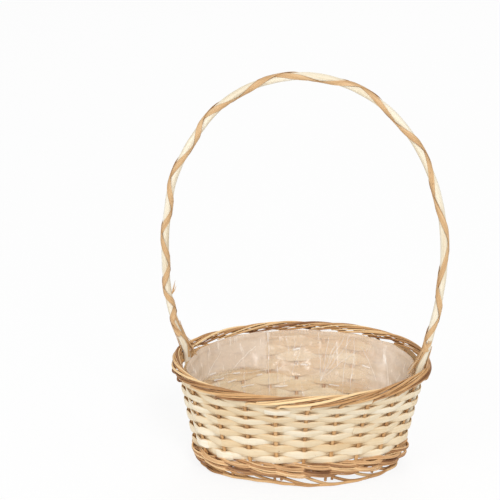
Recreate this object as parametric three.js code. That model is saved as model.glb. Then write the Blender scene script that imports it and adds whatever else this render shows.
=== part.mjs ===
import * as THREE from 'three';

// Oval gift basket of split willow with a hoop handle, in millimetres, +Z up.
// It stands on its woven foot at z = 0, with its long side along X.
// Places round the wall are given in stake spacings, counted anticlockwise from +X.

// The line that the stakes stand on, at the foot, at the top of the wale and at the rim.
const FOOT_LENGTH = 230;
const FOOT_WIDTH = 130;
const WAIST_LENGTH = 249;
const WAIST_WIDTH = 126;
const RIM_LENGTH = 282;
const RIM_WIDTH = 217;

// The ends flare evenly, and the long sides flare more and more towards the rim, in straight steps.
const SIDE_FLARE = 1.6;
const WALL_STEPS = 5;

// Clearance kept between pieces that press on each other in the real weave.
const CLEARANCE = 0.35;

// Stakes: round rods whose ends are bent sideways into the foot and the border.
const STAKE_COUNT = 20;
const STAKE_RADIUS = 2;
const FOOT_HEIGHT = 13;
const FOOT_ROD_RADIUS = 1.8;
const FOOT_FLAT = 0.5;
const FOOT_SPAN = 2.3;
const FOOT_LANE = 5.7;
const BORDER_ROD_RADIUS = 1.8;
const BORDER_STRANDS = 5;
const BORDER_REACH = 4.4;
const BORDER_RISE = 5;
const BORDER_OVERHANG = 6;
const BORDER_GAP = 5;

// Wale: rounds of three rods twisted together, in front of two stakes and behind one.
const WALE_ROUNDS = 2;
const WALE_RODS = 3;
const WALE_RADIUS = 1.6;

// Weaving strips: one closed row each, in front of every second stake.
// Rows are packed closer and split narrower towards the rim.
const ROW_COUNT = 11;
const LOWEST_ROW_PITCH = 9;
const HIGHEST_ROW_PITCH = 7.2;
const STRIP_THICKNESS = 1.2;
const STRIP_OVERLAP = 2.6;
const ROW_GAP = 1;

// Hoop handle: a bare rod whose legs run down inside the weave, a little past two opposite stakes.
const HOOP_RADIUS = 4.3;
const LEG_RADIUS = 4.2;
const LEG_TIP_RADIUS = 3;
const LEG_TIP_HEIGHT = 56;
const LEG_OUTSET = 0.3;
const LEG_ROOM = 0.9;
const LEG_PAST_STAKE = 0.25;
const HOOP_HALF_WIDTH = 158.5;
const HOOP_RISE = 346;

// Outline of each side of the hoop, bent by hand and so not quite even. The swell goes from the foot
// out to the half-width, the shoulder from there in to the middle, each as shares [out, up].
const LEFT_SWELL = [[0.21, 0.041], [0.54, 0.104], [0.82, 0.176], [1.01, 0.3], [1.02, 0.376]];
const LEFT_SHOULDER = [[0.99, 0.473], [0.938, 0.617], [0.809, 0.751], [0.586, 0.888], [0.352, 0.96]];
const TOP_LEAN = 0.0185;
const RIGHT_SHOULDER = [[0.333, 0.971], [0.593, 0.897], [0.79, 0.785], [0.926, 0.645], [0.988, 0.508]];
const RIGHT_SWELL = [[1, 0.393], [0.9, 0.29], [0.64, 0.182], [0.42, 0.104], [0.2, 0.041]];

// Skeins: two flat strips wound round the hoop in opposite directions, one over the other.
const SKEIN_WIDTH = 7;
const SKEIN_THICKNESS = 0.8;
const SKEIN_TURNS = 12;
const SKEIN_CLEARANCE = 0.5;

// Base: round sticks across the basket with flat slats woven over and under them.
const BASE_STICKS = 7;
const BASE_STICK_RADIUS = 1.8;
const BASE_SLATS = 9;
const BASE_SLAT_GAP = 2.4;
const BASE_SLAT_THICKNESS = 1.2;

// Clear film liner.
const FILM_THICKNESS = 0.8;

const WILLOW = new THREE.MeshStandardMaterial({ color: 0xb98550, roughness: 0.62, metalness: 0 });
const BROWN_WILLOW = new THREE.MeshStandardMaterial({ color: 0x9c6c3f, roughness: 0.65, metalness: 0 });
const SPLIT_WILLOW = new THREE.MeshStandardMaterial({ color: 0xe9d6a8, roughness: 0.55, metalness: 0 });
const PEELED_WILLOW = new THREE.MeshStandardMaterial({ color: 0xecdcb4, roughness: 0.5, metalness: 0 });
const FILM = new THREE.MeshStandardMaterial({ color: 0xe4e2de, roughness: 0.15, metalness: 0 });

// Heights, from the foot up.
const waleTwist = (2 * WALE_RADIUS + CLEARANCE) / Math.sqrt(3);
const walePitch = 2 * (2 * WALE_RADIUS + CLEARANCE);
const waleTop = FOOT_HEIGHT + (WALE_ROUNDS - 1) * walePitch + 2 * (waleTwist + WALE_RADIUS);
const pitchAt = (row) => THREE.MathUtils.lerp(LOWEST_ROW_PITCH, HIGHEST_ROW_PITCH, row / (ROW_COUNT - 1));
const narrowHalfAt = (row) => (pitchAt(row) - ROW_GAP) / 2;
const wideHalfAt = (row) => (pitchAt(row) + STRIP_OVERLAP) / 2;
const rowHeights = [waleTop + CLEARANCE + narrowHalfAt(0)];
for (let row = 1; row < ROW_COUNT; row += 1) {
  rowHeights.push(rowHeights[row - 1] + (pitchAt(row - 1) + pitchAt(row)) / 2);
}
const weaveTop = rowHeights[ROW_COUNT - 1] + wideHalfAt(ROW_COUNT - 1);
const borderHeight = weaveTop + BORDER_GAP + BORDER_RISE + BORDER_ROD_RADIUS;
const stripOffset = STAKE_RADIUS + CLEARANCE + STRIP_THICKNESS / 2;

// Heights from the waist to the rim at which the wall turns further out.
const wallHeights = Array.from({ length: WALL_STEPS + 1 }, (_, step) => (
  THREE.MathUtils.lerp(waleTop, weaveTop, step / WALL_STEPS)
));

// Share of the long sides' flare that is reached at a share of the wall's height.
function flareAt(high) {
  const step = Math.min(Math.floor(high * WALL_STEPS), WALL_STEPS - 1);
  const [below, above] = [step, step + 1].map((count) => (count / WALL_STEPS) ** SIDE_FLARE);
  return THREE.MathUtils.lerp(below, above, high * WALL_STEPS - step);
}

// Half-length and half-width of the stake line at a height.
function ovalAt(z) {
  const low = THREE.MathUtils.clamp(z / waleTop, 0, 1);
  const high = THREE.MathUtils.clamp((z - waleTop) / (weaveTop - waleTop), 0, 1);
  const length = FOOT_LENGTH + (WAIST_LENGTH - FOOT_LENGTH) * low + (RIM_LENGTH - WAIST_LENGTH) * high;
  const sides = (RIM_WIDTH - WAIST_WIDTH) * flareAt(high);
  const width = FOOT_WIDTH + (WAIST_WIDTH - FOOT_WIDTH) * low + sides;
  return [length / 2, width / 2];
}

// Turning angle round the oval at each place, so that stakes are evenly spaced at mid-height.
const ARC_STEPS = 720;
const arcLengths = [0];
const [midLength, midWidth] = ovalAt((waleTop + weaveTop) / 2);
for (let step = 1; step <= ARC_STEPS; step += 1) {
  const angle = ((step - 0.5) / ARC_STEPS) * 2 * Math.PI;
  const speed = Math.hypot(midLength * Math.sin(angle), midWidth * Math.cos(angle));
  arcLengths.push(arcLengths[step - 1] + (speed * 2 * Math.PI) / ARC_STEPS);
}

function angleAt(place) {
  const laps = Math.floor(place / STAKE_COUNT);
  const target = (place / STAKE_COUNT - laps) * arcLengths[ARC_STEPS];
  let step = 1;
  while (step < ARC_STEPS && arcLengths[step] < target) {
    step += 1;
  }
  const part = (target - arcLengths[step - 1]) / (arcLengths[step] - arcLengths[step - 1]);
  return 2 * Math.PI * (laps + (step - 1 + part) / ARC_STEPS);
}

// Level direction straight out of the wall.
function outward(place, z) {
  const [halfLength, halfWidth] = ovalAt(z);
  const angle = angleAt(place);
  return new THREE.Vector3(halfWidth * Math.cos(angle), halfLength * Math.sin(angle), 0).normalize();
}

// Point at a place round the wall and a height, a level distance out from the stake line.
function levelPoint(place, out, z) {
  const [halfLength, halfWidth] = ovalAt(z);
  const angle = angleAt(place);
  const point = new THREE.Vector3(halfLength * Math.cos(angle), halfWidth * Math.sin(angle), z);
  return point.addScaledVector(outward(place, z), out);
}

// The same, but the distance out is square to the sloping wall.
function wallPoint(place, out, z) {
  const reach = Math.min(1, weaveTop - z, z - waleTop);
  const step = Math.max(reach, 0.01);
  const high = Math.min(z + step, weaveTop);
  const slope = levelPoint(place, 0, high).sub(levelPoint(place, 0, high - 2 * step));
  const level = outward(place, z);
  const lean = Math.atan2(slope.dot(level), slope.z);
  const square = level.multiplyScalar(Math.cos(lean)).setZ(-Math.sin(lean));
  return levelPoint(place, 0, z).addScaledVector(square, out);
}

const basket = new THREE.Group();

function signedVolume(points, faces) {
  const cross = new THREE.Vector3();
  let volume = 0;
  for (let i = 0; i < faces.length; i += 3) {
    cross.crossVectors(points[faces[i + 1]], points[faces[i + 2]]);
    volume += points[faces[i]].dot(cross) / 6;
  }
  return volume;
}

// Closed skin over rings of points: a loop of rings, or a run of rings capped at both ends.
// The quads between two rings are split along one diagonal, and along the other on the swapped sides.
function skin(rings, closed, swapped = []) {
  const sides = rings[0].length;
  const points = rings.flat();
  const faces = [];
  const steps = closed ? rings.length : rings.length - 1;
  for (let i = 0; i < steps; i += 1) {
    const here = i * sides;
    const next = ((i + 1) % rings.length) * sides;
    for (let j = 0; j < sides; j += 1) {
      const k = (j + 1) % sides;
      if (swapped.includes(j)) {
        faces.push(here + j, here + k, next + j, here + k, next + k, next + j);
      } else {
        faces.push(here + j, here + k, next + k, here + j, next + k, next + j);
      }
    }
  }
  if (!closed) {
    const last = (rings.length - 1) * sides;
    for (let j = 1; j < sides - 1; j += 1) {
      faces.push(0, j + 1, j, last, last + j, last + j + 1);
    }
  }
  if (signedVolume(points, faces) < 0) {
    faces.reverse();
  }
  const geometry = new THREE.BufferGeometry();
  geometry.setAttribute('position', new THREE.Float32BufferAttribute(points.flatMap((p) => p.toArray()), 3));
  geometry.setIndex(faces);
  geometry.computeVertexNormals();
  return geometry;
}

function addPiece(name, geometry, material) {
  const mesh = new THREE.Mesh(geometry, material);
  mesh.name = name;
  basket.add(mesh);
}

// Rings of a rod that follows a path; the reference direction of each point is never along the path.
function rodRings(path, references, radii, sides, firstCorner) {
  return path.map((centre, i) => {
    const before = path[Math.max(i - 1, 0)];
    const after = path[Math.min(i + 1, path.length - 1)];
    const along = after.clone().sub(before).normalize();
    const up = references[i].clone().cross(along).normalize();
    const side = along.clone().cross(up);
    return Array.from({ length: sides }, (_, j) => {
      const turn = firstCorner + (2 * Math.PI * j) / sides;
      return centre.clone()
        .addScaledVector(side, radii[i] * Math.cos(turn))
        .addScaledVector(up, radii[i] * Math.sin(turn));
    });
  });
}

const numbered = (word, index) => `${word}_${String(index + 1).padStart(2, '0')}`;
const smooth = (value) => THREE.MathUtils.smoothstep(value, 0, 1);

// How near a place is to a handle leg: 1 at the leg, falling to 0 within one stake spacing.
function nearLeg(place, width) {
  const halfLap = STAKE_COUNT / 2;
  const shifted = place + 1 - LEG_PAST_STAKE + halfLap / 2;
  const distance = shifted - Math.floor(shifted / halfLap) * halfLap - halfLap / 2;
  return Math.exp(-((distance / width) ** 2));
}

// The border is rolled like a rope. At a leg the rope is drawn in and pushed out of the way.
const SQUEEZE_WIDTH = 0.5;
const strandTurn = (2 * Math.PI) / BORDER_STRANDS;
const tightReach = (2 * BORDER_ROD_RADIUS + CLEARANCE) / (2 * Math.sin(strandTurn / 2));
const legOverhang = LEG_OUTSET + LEG_RADIUS + LEG_ROOM + BORDER_ROD_RADIUS + tightReach;

function borderPoint(stake, spacings) {
  const place = stake + spacings;
  const squeeze = nearLeg(place, SQUEEZE_WIDTH);
  const reach = BORDER_REACH + (tightReach - BORDER_REACH) * squeeze;
  const overhang = BORDER_OVERHANG + (legOverhang - BORDER_OVERHANG) * squeeze;
  const turn = -Math.PI / 2 + strandTurn * spacings;
  return levelPoint(place, overhang + reach * Math.cos(turn), borderHeight + BORDER_RISE * Math.sin(turn));
}

// The foot: each stake's lower end slants down to the floor and runs out from lane to lane.
const footCentre = FOOT_ROD_RADIUS - FOOT_FLAT;
const footBend = FOOT_HEIGHT - FOOT_ROD_RADIUS;
const footFall = 1.3;
const innerLane = -FOOT_LANE / 2;

function footPoint(stake, spacings) {
  const fallen = Math.min(spacings, 1);
  const out = innerLane * Math.sin((fallen * Math.PI) / 2) + FOOT_LANE * (spacings - fallen);
  return levelPoint(stake + spacings, out, footCentre + (footBend - footCentre) * (1 - fallen) ** footFall);
}

function addStakes() {
  const footStops = [FOOT_SPAN, 2, 1.7, 1.35, 1, 0.8, 0.6, 0.3, 0];
  const uprightHeights = [FOOT_HEIGHT + WALE_RADIUS, ...wallHeights];
  const borderStops = [0.15, 0.45, 0.5 + LEG_PAST_STAKE];
  while (borderStops.at(-1) < BORDER_STRANDS - 0.8) {
    borderStops.push(borderStops.at(-1) + 0.5);
  }
  for (let stake = 0; stake < STAKE_COUNT; stake += 1) {
    const path = [];
    const references = [];
    const radii = [];
    for (const spacings of footStops) {
      path.push(footPoint(stake, spacings));
      references.push(outward(stake + spacings, 0));
      radii.push(FOOT_ROD_RADIUS);
    }
    for (const height of uprightHeights) {
      path.push(levelPoint(stake, 0, height));
      references.push(outward(stake, height));
      radii.push(STAKE_RADIUS);
    }
    for (const spacings of borderStops) {
      path.push(borderPoint(stake, spacings));
      references.push(outward(stake + spacings, borderHeight));
      radii.push(BORDER_ROD_RADIUS);
    }
    const rings = rodRings(path, references, radii, 5, 0.3 * Math.PI);
    rings.flat().forEach((corner) => {
      corner.z = Math.max(corner.z, 0);
    });
    addPiece(numbered('stake', stake), skin(rings, false), WILLOW);
  }
}

function addWale() {
  const clear = STAKE_RADIUS + WALE_RADIUS + 2 * CLEARANCE;
  const swing = clear / 0.75;
  const stepsPerStake = 3;
  const start = 4 + 1 / stepsPerStake;
  const endGap = 0.03;
  const steps = STAKE_COUNT * stepsPerStake;
  for (let round = 0; round < WALE_ROUNDS; round += 1) {
    const height = FOOT_HEIGHT + WALE_RADIUS + waleTwist + round * walePitch;
    for (let rod = 0; rod < WALE_RODS; rod += 1) {
      const path = [];
      const references = [];
      for (let i = 0; i <= steps; i += 1) {
        const trim = i === 0 ? endGap : (i === steps ? -endGap : 0);
        const place = start + i / stepsPerStake + trim;
        const turn = (2 * Math.PI * (place + rod)) / WALE_RODS;
        path.push(levelPoint(place, swing / 4 - swing * Math.cos(turn), height + waleTwist * Math.sin(turn)));
        references.push(outward(place, height));
      }
      const radii = path.map(() => WALE_RADIUS);
      const name = numbered('wale_rod', round * WALE_RODS + rod);
      addPiece(name, skin(rodRings(path, references, radii, 4, 0), false), BROWN_WILLOW);
    }
  }
}

// Radius of a handle leg at a height inside the weave.
function legRadius(z) {
  const rise = THREE.MathUtils.clamp((z - LEG_TIP_HEIGHT) / (borderHeight - LEG_TIP_HEIGHT), 0, 1);
  return LEG_TIP_RADIUS + (LEG_RADIUS - LEG_TIP_RADIUS) * rise;
}

// A strip is full on one side at each stake, and at a leg it stays on that side and swells round it.
function addRows() {
  const bulgeWidth = 0.22;
  const besideLeg = 0.08;
  const plainStops = [0, 0.5];
  const uncrossed = LEG_PAST_STAKE + 2 * besideLeg;
  const legStops = [
    0, LEG_PAST_STAKE - besideLeg, LEG_PAST_STAKE, LEG_PAST_STAKE + besideLeg, uncrossed, (1 + uncrossed) / 2,
  ];
  rowHeights.forEach((height, row) => {
    const narrowHalf = narrowHalfAt(row);
    const wideHalf = wideHalfAt(row);
    const hasLeg = height + wideHalf + CLEARANCE > LEG_TIP_HEIGHT;
    const bulge = legRadius(height + wideHalf) - STAKE_RADIUS + LEG_ROOM - CLEARANCE;
    const rings = [];
    for (let stake = 0; stake < STAKE_COUNT; stake += 1) {
      const besideStake = (stake + 1) % (STAKE_COUNT / 2) === 0;
      const side = (stake + row) % 2 === 0 ? 1 : -1;
      for (const stop of besideStake ? legStops : plainStops) {
        const crossing = besideStake ? Math.max((stop - uncrossed) / (1 - uncrossed), 0) : stop;
        const swell = hasLeg ? bulge * nearLeg(stake + stop, bulgeWidth) : 0;
        const wave = 1 - 2 * crossing;
        const out = side * wave * (stripOffset + swell);
        const half = wideHalf + (narrowHalf - wideHalf) * (1 - Math.abs(wave));
        const below = row === 0 ? narrowHalf : half;
        const corners = [[-1, -below], [1, -below], [1, half], [-1, half]];
        rings.push(corners.map(([face, rise]) => (
          wallPoint(stake + stop, out + (face * STRIP_THICKNESS) / 2, height + rise)
        )));
      }
    }
    addPiece(numbered('weaving_strip', row), skin(rings, true), SPLIT_WILLOW);
  });
}

// Centreline of the handle, from the tip of the left leg over the top to the tip of the right leg.
function hoopCurve() {
  const leftPlace = STAKE_COUNT / 2 - 1 + LEG_PAST_STAKE;
  const rightPlace = LEG_PAST_STAKE - 1;
  const rightFoot = levelPoint(rightPlace, LEG_OUTSET, borderHeight);
  const sideways = rightFoot.y / rightFoot.x;
  const hoopPoint = (x, up) => new THREE.Vector3(x, x * sideways, borderHeight + up * HOOP_RISE);
  const swell = (side) => ([out, up]) => (
    hoopPoint(side * (rightFoot.x + out * (HOOP_HALF_WIDTH - rightFoot.x)), up)
  );
  const shoulder = (side) => ([out, up]) => hoopPoint(side * out * HOOP_HALF_WIDTH, up);
  const legHeights = [LEG_TIP_HEIGHT, (LEG_TIP_HEIGHT + weaveTop) / 2, weaveTop];
  const points = [
    ...legHeights.map((z) => levelPoint(leftPlace, 0, z)),
    levelPoint(leftPlace, LEG_OUTSET, borderHeight),
    ...LEFT_SWELL.map(swell(-1)),
    ...LEFT_SHOULDER.map(shoulder(-1)),
    hoopPoint(TOP_LEAN * HOOP_HALF_WIDTH, 1),
    ...RIGHT_SHOULDER.map(shoulder(1)),
    ...RIGHT_SWELL.map(swell(1)),
    rightFoot,
    ...legHeights.reverse().map((z) => levelPoint(rightPlace, 0, z)),
  ];
  return new THREE.CatmullRomCurve3(points, false, 'centripetal');
}

const hoop = hoopCurve();
const hoopLength = hoop.getLength();
const hoopSide = new THREE.Vector3(0, 1, 0);

function hoopRadius(z) {
  const rise = THREE.MathUtils.clamp((z - borderHeight) / (LEFT_SWELL[1][1] * HOOP_RISE), 0, 1);
  return z < borderHeight ? legRadius(z) : LEG_RADIUS + (HOOP_RADIUS - LEG_RADIUS) * smooth(rise);
}

function addHoop() {
  const steps = 84;
  const path = hoop.getSpacedPoints(steps);
  const radii = path.map((point) => hoopRadius(point.z));
  const references = path.map(() => hoopSide);
  addPiece('handle_hoop', skin(rodRings(path, references, radii, 8, Math.PI / 8), false), PEELED_WILLOW);
}

// Share of the hoop's length, from its left end, at which it rises past a height.
function shareAtHeight(z) {
  let share = 0;
  while (hoop.getPointAt(share).z < z) {
    share += 0.001;
  }
  return share;
}

function addSkeins() {
  const stepsPerTurn = 10;
  const borderTop = borderHeight + BORDER_RISE + BORDER_ROD_RADIUS;
  const startShare = shareAtHeight(borderTop + SKEIN_WIDTH);
  const steps = SKEIN_TURNS * stepsPerTurn;
  ['inner', 'outer'].forEach((layer, index) => {
    const direction = index === 0 ? 1 : -1;
    const stand = SKEIN_CLEARANCE + SKEIN_THICKNESS / 2 + index * (SKEIN_THICKNESS + SKEIN_CLEARANCE);
    const centres = [];
    const faceDirections = [];
    for (let i = 0; i <= steps; i += 1) {
      const share = startShare + ((1 - 2 * startShare) * i) / steps;
      const centre = hoop.getPointAt(share);
      const along = hoop.getTangentAt(share);
      const across = hoopSide.clone().cross(along).normalize();
      const depth = along.clone().cross(across);
      const turn = (direction * 2 * Math.PI * i) / stepsPerTurn;
      const face = across.multiplyScalar(Math.cos(turn)).addScaledVector(depth, Math.sin(turn));
      centres.push(centre.addScaledVector(face, hoopRadius(centre.z) + stand));
      faceDirections.push(face);
    }
    const rings = centres.map((centre, i) => {
      const before = centres[Math.max(i - 1, 0)];
      const after = centres[Math.min(i + 1, steps)];
      const along = after.clone().sub(before).normalize();
      const width = along.clone().cross(faceDirections[i]).normalize();
      const face = width.clone().cross(along);
      const corners = [[-1, -1], [1, -1], [1, 1], [-1, 1]];
      return corners.map(([sideways, outwards]) => centre.clone()
        .addScaledVector(width, (-direction * sideways * SKEIN_WIDTH) / 2)
        .addScaledVector(face, (outwards * SKEIN_THICKNESS) / 2));
    });
    const farSide = 2;
    addPiece(`handle_skein_${layer}`, skin(rings, false, [farSide]), WILLOW);
  });
}

// The base sticks lie on the wale, inside the lowest row, and the slats stop short of the wale.
const stickHeight = waleTop + CLEARANCE + BASE_STICK_RADIUS;
const slatOffset = BASE_STICK_RADIUS + CLEARANCE + BASE_SLAT_THICKNESS / 2;
const slatTop = stickHeight + slatOffset + BASE_SLAT_THICKNESS / 2;

// Half of the free width across an inset oval, at a distance from its middle.
function freeHalf(half, crossHalf, distance) {
  return half * Math.sqrt(Math.max(1 - (distance / crossHalf) ** 2, 0));
}

function addBase() {
  const [halfLength, halfWidth] = ovalAt(waleTop);
  const stickInset = stripOffset + STRIP_THICKNESS / 2 + CLEARANCE;
  const waleInset = STAKE_RADIUS + 2 * (WALE_RADIUS + CLEARANCE) + CLEARANCE;
  const stickPitch = (2 * (halfLength - stickInset)) / (BASE_STICKS + 1);
  const slatPitch = (2 * (halfWidth - waleInset)) / BASE_SLATS;
  const slatWidth = slatPitch - BASE_SLAT_GAP;
  const stickPlaces = Array.from({ length: BASE_STICKS }, (_, i) => (i - (BASE_STICKS - 1) / 2) * stickPitch);
  stickPlaces.forEach((x, i) => {
    const reach = Math.abs(x) + BASE_STICK_RADIUS;
    const half = freeHalf(halfWidth - stickInset, halfLength - stickInset, reach);
    const geometry = new THREE.CylinderGeometry(BASE_STICK_RADIUS, BASE_STICK_RADIUS, 2 * half, 6);
    geometry.translate(x, 0, stickHeight);
    addPiece(numbered('base_stick', i), geometry, WILLOW);
  });
  for (let slat = 0; slat < BASE_SLATS; slat += 1) {
    const y = (slat - (BASE_SLATS - 1) / 2) * slatPitch;
    const reach = Math.abs(y) + slatWidth / 2;
    const half = freeHalf(halfLength - waleInset, halfWidth - waleInset, reach);
    const crossed = stickPlaces.map((x, i) => ({ x, side: (i + slat) % 2 === 0 ? 1 : -1 }))
      .filter(({ x }) => Math.abs(x) < half - BASE_STICK_RADIUS);
    const stops = [{ x: -half, side: 0 }];
    crossed.forEach(({ x, side }) => {
      stops.push({ x: x - BASE_STICK_RADIUS, side }, { x: x + BASE_STICK_RADIUS, side });
    });
    stops.push({ x: half, side: 0 });
    stops[0].side = stops[1].side;
    stops[stops.length - 1].side = stops[stops.length - 2].side;
    const rings = stops.map(({ x, side }) => {
      const z = stickHeight + side * slatOffset;
      const corners = [[-1, -1], [1, -1], [1, 1], [-1, 1]];
      return corners.map(([across, up]) => new THREE.Vector3(
        x,
        y + (across * slatWidth) / 2,
        z + (up * BASE_SLAT_THICKNESS) / 2,
      ));
    });
    addPiece(numbered('base_slat', slat), skin(rings, false), SPLIT_WILLOW);
  }
}

// The film stands against the inside of the weave, with its floor on the slats.
function addLiner() {
  const segments = 60;
  const swellWidth = 0.4;
  const floorHeight = slatTop + CLEARANCE;
  const widest = 2 * wideHalfAt(0);
  const swellFrom = LEG_TIP_HEIGHT - widest - CLEARANCE;
  const insetAt = (place, z) => {
    const swell = z < swellFrom ? 0 : legRadius(z + widest) - STAKE_RADIUS + LEG_ROOM - CLEARANCE;
    return stripOffset + STRIP_THICKNESS / 2 + CLEARANCE + swell * nearLeg(place, swellWidth);
  };
  const floorTop = floorHeight + FILM_THICKNESS;
  const ring = (z, wallHeight, extra) => Array.from({ length: segments }, (_, i) => {
    const place = (i * STAKE_COUNT) / segments;
    const inset = -insetAt(place, wallHeight) - extra;
    return z > floorTop ? wallPoint(place, inset, z) : levelPoint(place, inset, wallHeight).setZ(z);
  });
  const heights = [floorHeight, swellFrom, ...wallHeights.filter((z) => z > swellFrom)];
  const outer = heights.map((z) => ring(z, z, 0));
  const inner = heights.map((z, i) => ring(i === 0 ? floorTop : z, z, FILM_THICKNESS)).reverse();
  addPiece('film_liner', skin([...outer, ...inner], false), FILM);
}

addStakes();
addWale();
addRows();
addHoop();
addSkeins();
addBase();
addLiner();

export default basket;
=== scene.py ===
# %% [markdown]
# # A willow gift basket
#
# This basket is an oval, flaring basket of split willow with a tall hoop handle. Round rods, the
# stakes, stand up through the whole wall. Flat split strips are woven in and out of them, three
# brown rods are twisted round below, and the stakes' own ends are rolled into the rope-like border
# at the top and bent into the open foot at the bottom. A crinkled clear film lines the inside.
#
# Every rod and strip is made the same way: a straight length with a small cross-section is bent
# along a path. So one helper makes them all, and each piece only says where its path goes.

import bisect
import math
import random

import bmesh
import bpy
from mathutils import Matrix, Vector, noise


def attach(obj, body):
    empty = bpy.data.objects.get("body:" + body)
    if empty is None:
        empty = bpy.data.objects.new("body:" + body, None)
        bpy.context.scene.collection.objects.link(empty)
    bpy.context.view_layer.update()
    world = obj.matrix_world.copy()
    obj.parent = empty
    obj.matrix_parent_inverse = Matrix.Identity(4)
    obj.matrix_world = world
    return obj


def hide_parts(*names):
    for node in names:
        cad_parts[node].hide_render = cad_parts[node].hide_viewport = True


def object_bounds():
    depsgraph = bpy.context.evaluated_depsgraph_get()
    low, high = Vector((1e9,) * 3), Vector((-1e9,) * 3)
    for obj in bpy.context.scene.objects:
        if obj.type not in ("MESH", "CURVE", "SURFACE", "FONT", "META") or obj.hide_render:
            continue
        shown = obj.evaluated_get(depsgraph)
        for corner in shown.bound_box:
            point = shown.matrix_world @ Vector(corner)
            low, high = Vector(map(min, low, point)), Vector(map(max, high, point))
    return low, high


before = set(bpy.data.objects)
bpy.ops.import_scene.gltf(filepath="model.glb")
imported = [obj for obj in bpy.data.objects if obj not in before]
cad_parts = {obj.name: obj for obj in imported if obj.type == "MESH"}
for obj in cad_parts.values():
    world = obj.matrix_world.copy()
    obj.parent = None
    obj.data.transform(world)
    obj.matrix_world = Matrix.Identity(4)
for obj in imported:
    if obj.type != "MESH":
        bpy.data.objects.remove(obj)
cad_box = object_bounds()
print("frame", [tuple(round(value, 4) for value in corner) for corner in cad_box])

# %% [markdown]
# ## Sizes
#
# The frame holds the basket at its real size, and these are the same driving sizes, in metres.
# The stakes stand on three ovals: at the foot, at the waist above the brown rods, and at the rim.

# %% Sizes of the basket
MM = 0.001

FOOT_LENGTH, FOOT_WIDTH = 230 * MM, 130 * MM
WAIST_LENGTH, WAIST_WIDTH = 249 * MM, 126 * MM
RIM_LENGTH, RIM_WIDTH = 282 * MM, 217 * MM
SIDE_FLARE = 1.6
CLEARANCE = 0.35 * MM

STAKE_COUNT = 20
STAKE_RADIUS = 2 * MM
FOOT_HEIGHT = 13 * MM
FOOT_ROD_RADIUS = 1.8 * MM
FOOT_LANE = 5.7 * MM
BORDER_STRANDS = 5
BORDER_REACH = 4.4 * MM
BORDER_RISE = 5 * MM
BORDER_OVERHANG = 6 * MM
BORDER_GAP = 5 * MM

WALE_ROUNDS, WALE_RODS, WALE_RADIUS = 2, 3, 1.6 * MM

ROW_COUNT = 11
LOWEST_ROW_PITCH, HIGHEST_ROW_PITCH = 9 * MM, 7.2 * MM
STRIP_THICKNESS, STRIP_OVERLAP, ROW_GAP = 1.2 * MM, 2.6 * MM, 1 * MM

HOOP_RADIUS, LEG_RADIUS, LEG_TIP_RADIUS = 4.3 * MM, 4.2 * MM, 3 * MM
LEG_TIP_HEIGHT, LEG_OUTSET, LEG_ROOM, LEG_PAST_STAKE = 56 * MM, 0.3 * MM, 0.9 * MM, 0.25
HOOP_HALF_WIDTH, HOOP_RISE = 158.5 * MM, 346 * MM
LEFT_SWELL = [(0.21, 0.041), (0.54, 0.104), (0.82, 0.176), (1.01, 0.3), (1.02, 0.376)]
LEFT_SHOULDER = [(0.99, 0.473), (0.938, 0.617), (0.809, 0.751), (0.586, 0.888), (0.352, 0.96)]
TOP_LEAN = 0.0185
RIGHT_SHOULDER = [(0.333, 0.971), (0.593, 0.897), (0.79, 0.785), (0.926, 0.645), (0.988, 0.508)]
RIGHT_SWELL = [(1, 0.393), (0.9, 0.29), (0.64, 0.182), (0.42, 0.104), (0.2, 0.041)]

SKEIN_WIDTH, SKEIN_THICKNESS, SKEIN_CLEARANCE = 7 * MM, 0.8 * MM, 0.5 * MM
BASE_STICKS, BASE_STICK_RADIUS = 7, 1.8 * MM
BASE_SLATS, BASE_SLAT_GAP, BASE_SLAT_THICKNESS = 9, 2.4 * MM, 1.2 * MM


# %% Small sums
def mix(start, end, share):
    return start + (end - start) * share


def clamp(value, low=0.0, high=1.0):
    return min(max(value, low), high)


def smooth(value):
    value = clamp(value)
    return value * value * (3 - 2 * value)


def shares(count):
    return [i / (count - 1) for i in range(count)]


def steps_between(start, end, size):
    return [mix(start, end, share) for share in shares(max(round(abs(end - start) / size), 1) + 1)]


def for_each(value, count):
    """A list with a value for each point, from a list or from one value for all."""
    return value if isinstance(value, list) else [value] * count


# %% Heights worked out from the sizes
wale_twist = (2 * WALE_RADIUS + CLEARANCE) / math.sqrt(3)
wale_pitch = 2 * (2 * WALE_RADIUS + CLEARANCE)
wale_top = FOOT_HEIGHT + (WALE_ROUNDS - 1) * wale_pitch + 2 * (wale_twist + WALE_RADIUS)


def pitch_at(row):
    return mix(LOWEST_ROW_PITCH, HIGHEST_ROW_PITCH, row / (ROW_COUNT - 1))


row_heights = [wale_top + CLEARANCE + (pitch_at(0) - ROW_GAP) / 2]
for row in range(1, ROW_COUNT):
    row_heights.append(row_heights[-1] + (pitch_at(row - 1) + pitch_at(row)) / 2)
weave_top = row_heights[-1] + (pitch_at(ROW_COUNT - 1) + STRIP_OVERLAP) / 2
border_height = weave_top + BORDER_GAP + BORDER_RISE + FOOT_ROD_RADIUS
strip_offset = STAKE_RADIUS + CLEARANCE + STRIP_THICKNESS / 2
tops = (wale_top, weave_top, border_height)
print("wale top, weave top and border", [round(height, 4) for height in tops])

# %% [markdown]
# ## Places round the wall
#
# A weaver counts stakes, so the script does too: a place of 3.5 is half way between the fourth
# and the fifth stake, counted anticlockwise from the right end. A table of arc lengths turns a
# place into an angle on the oval, so that the stakes are evenly spaced.


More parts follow.
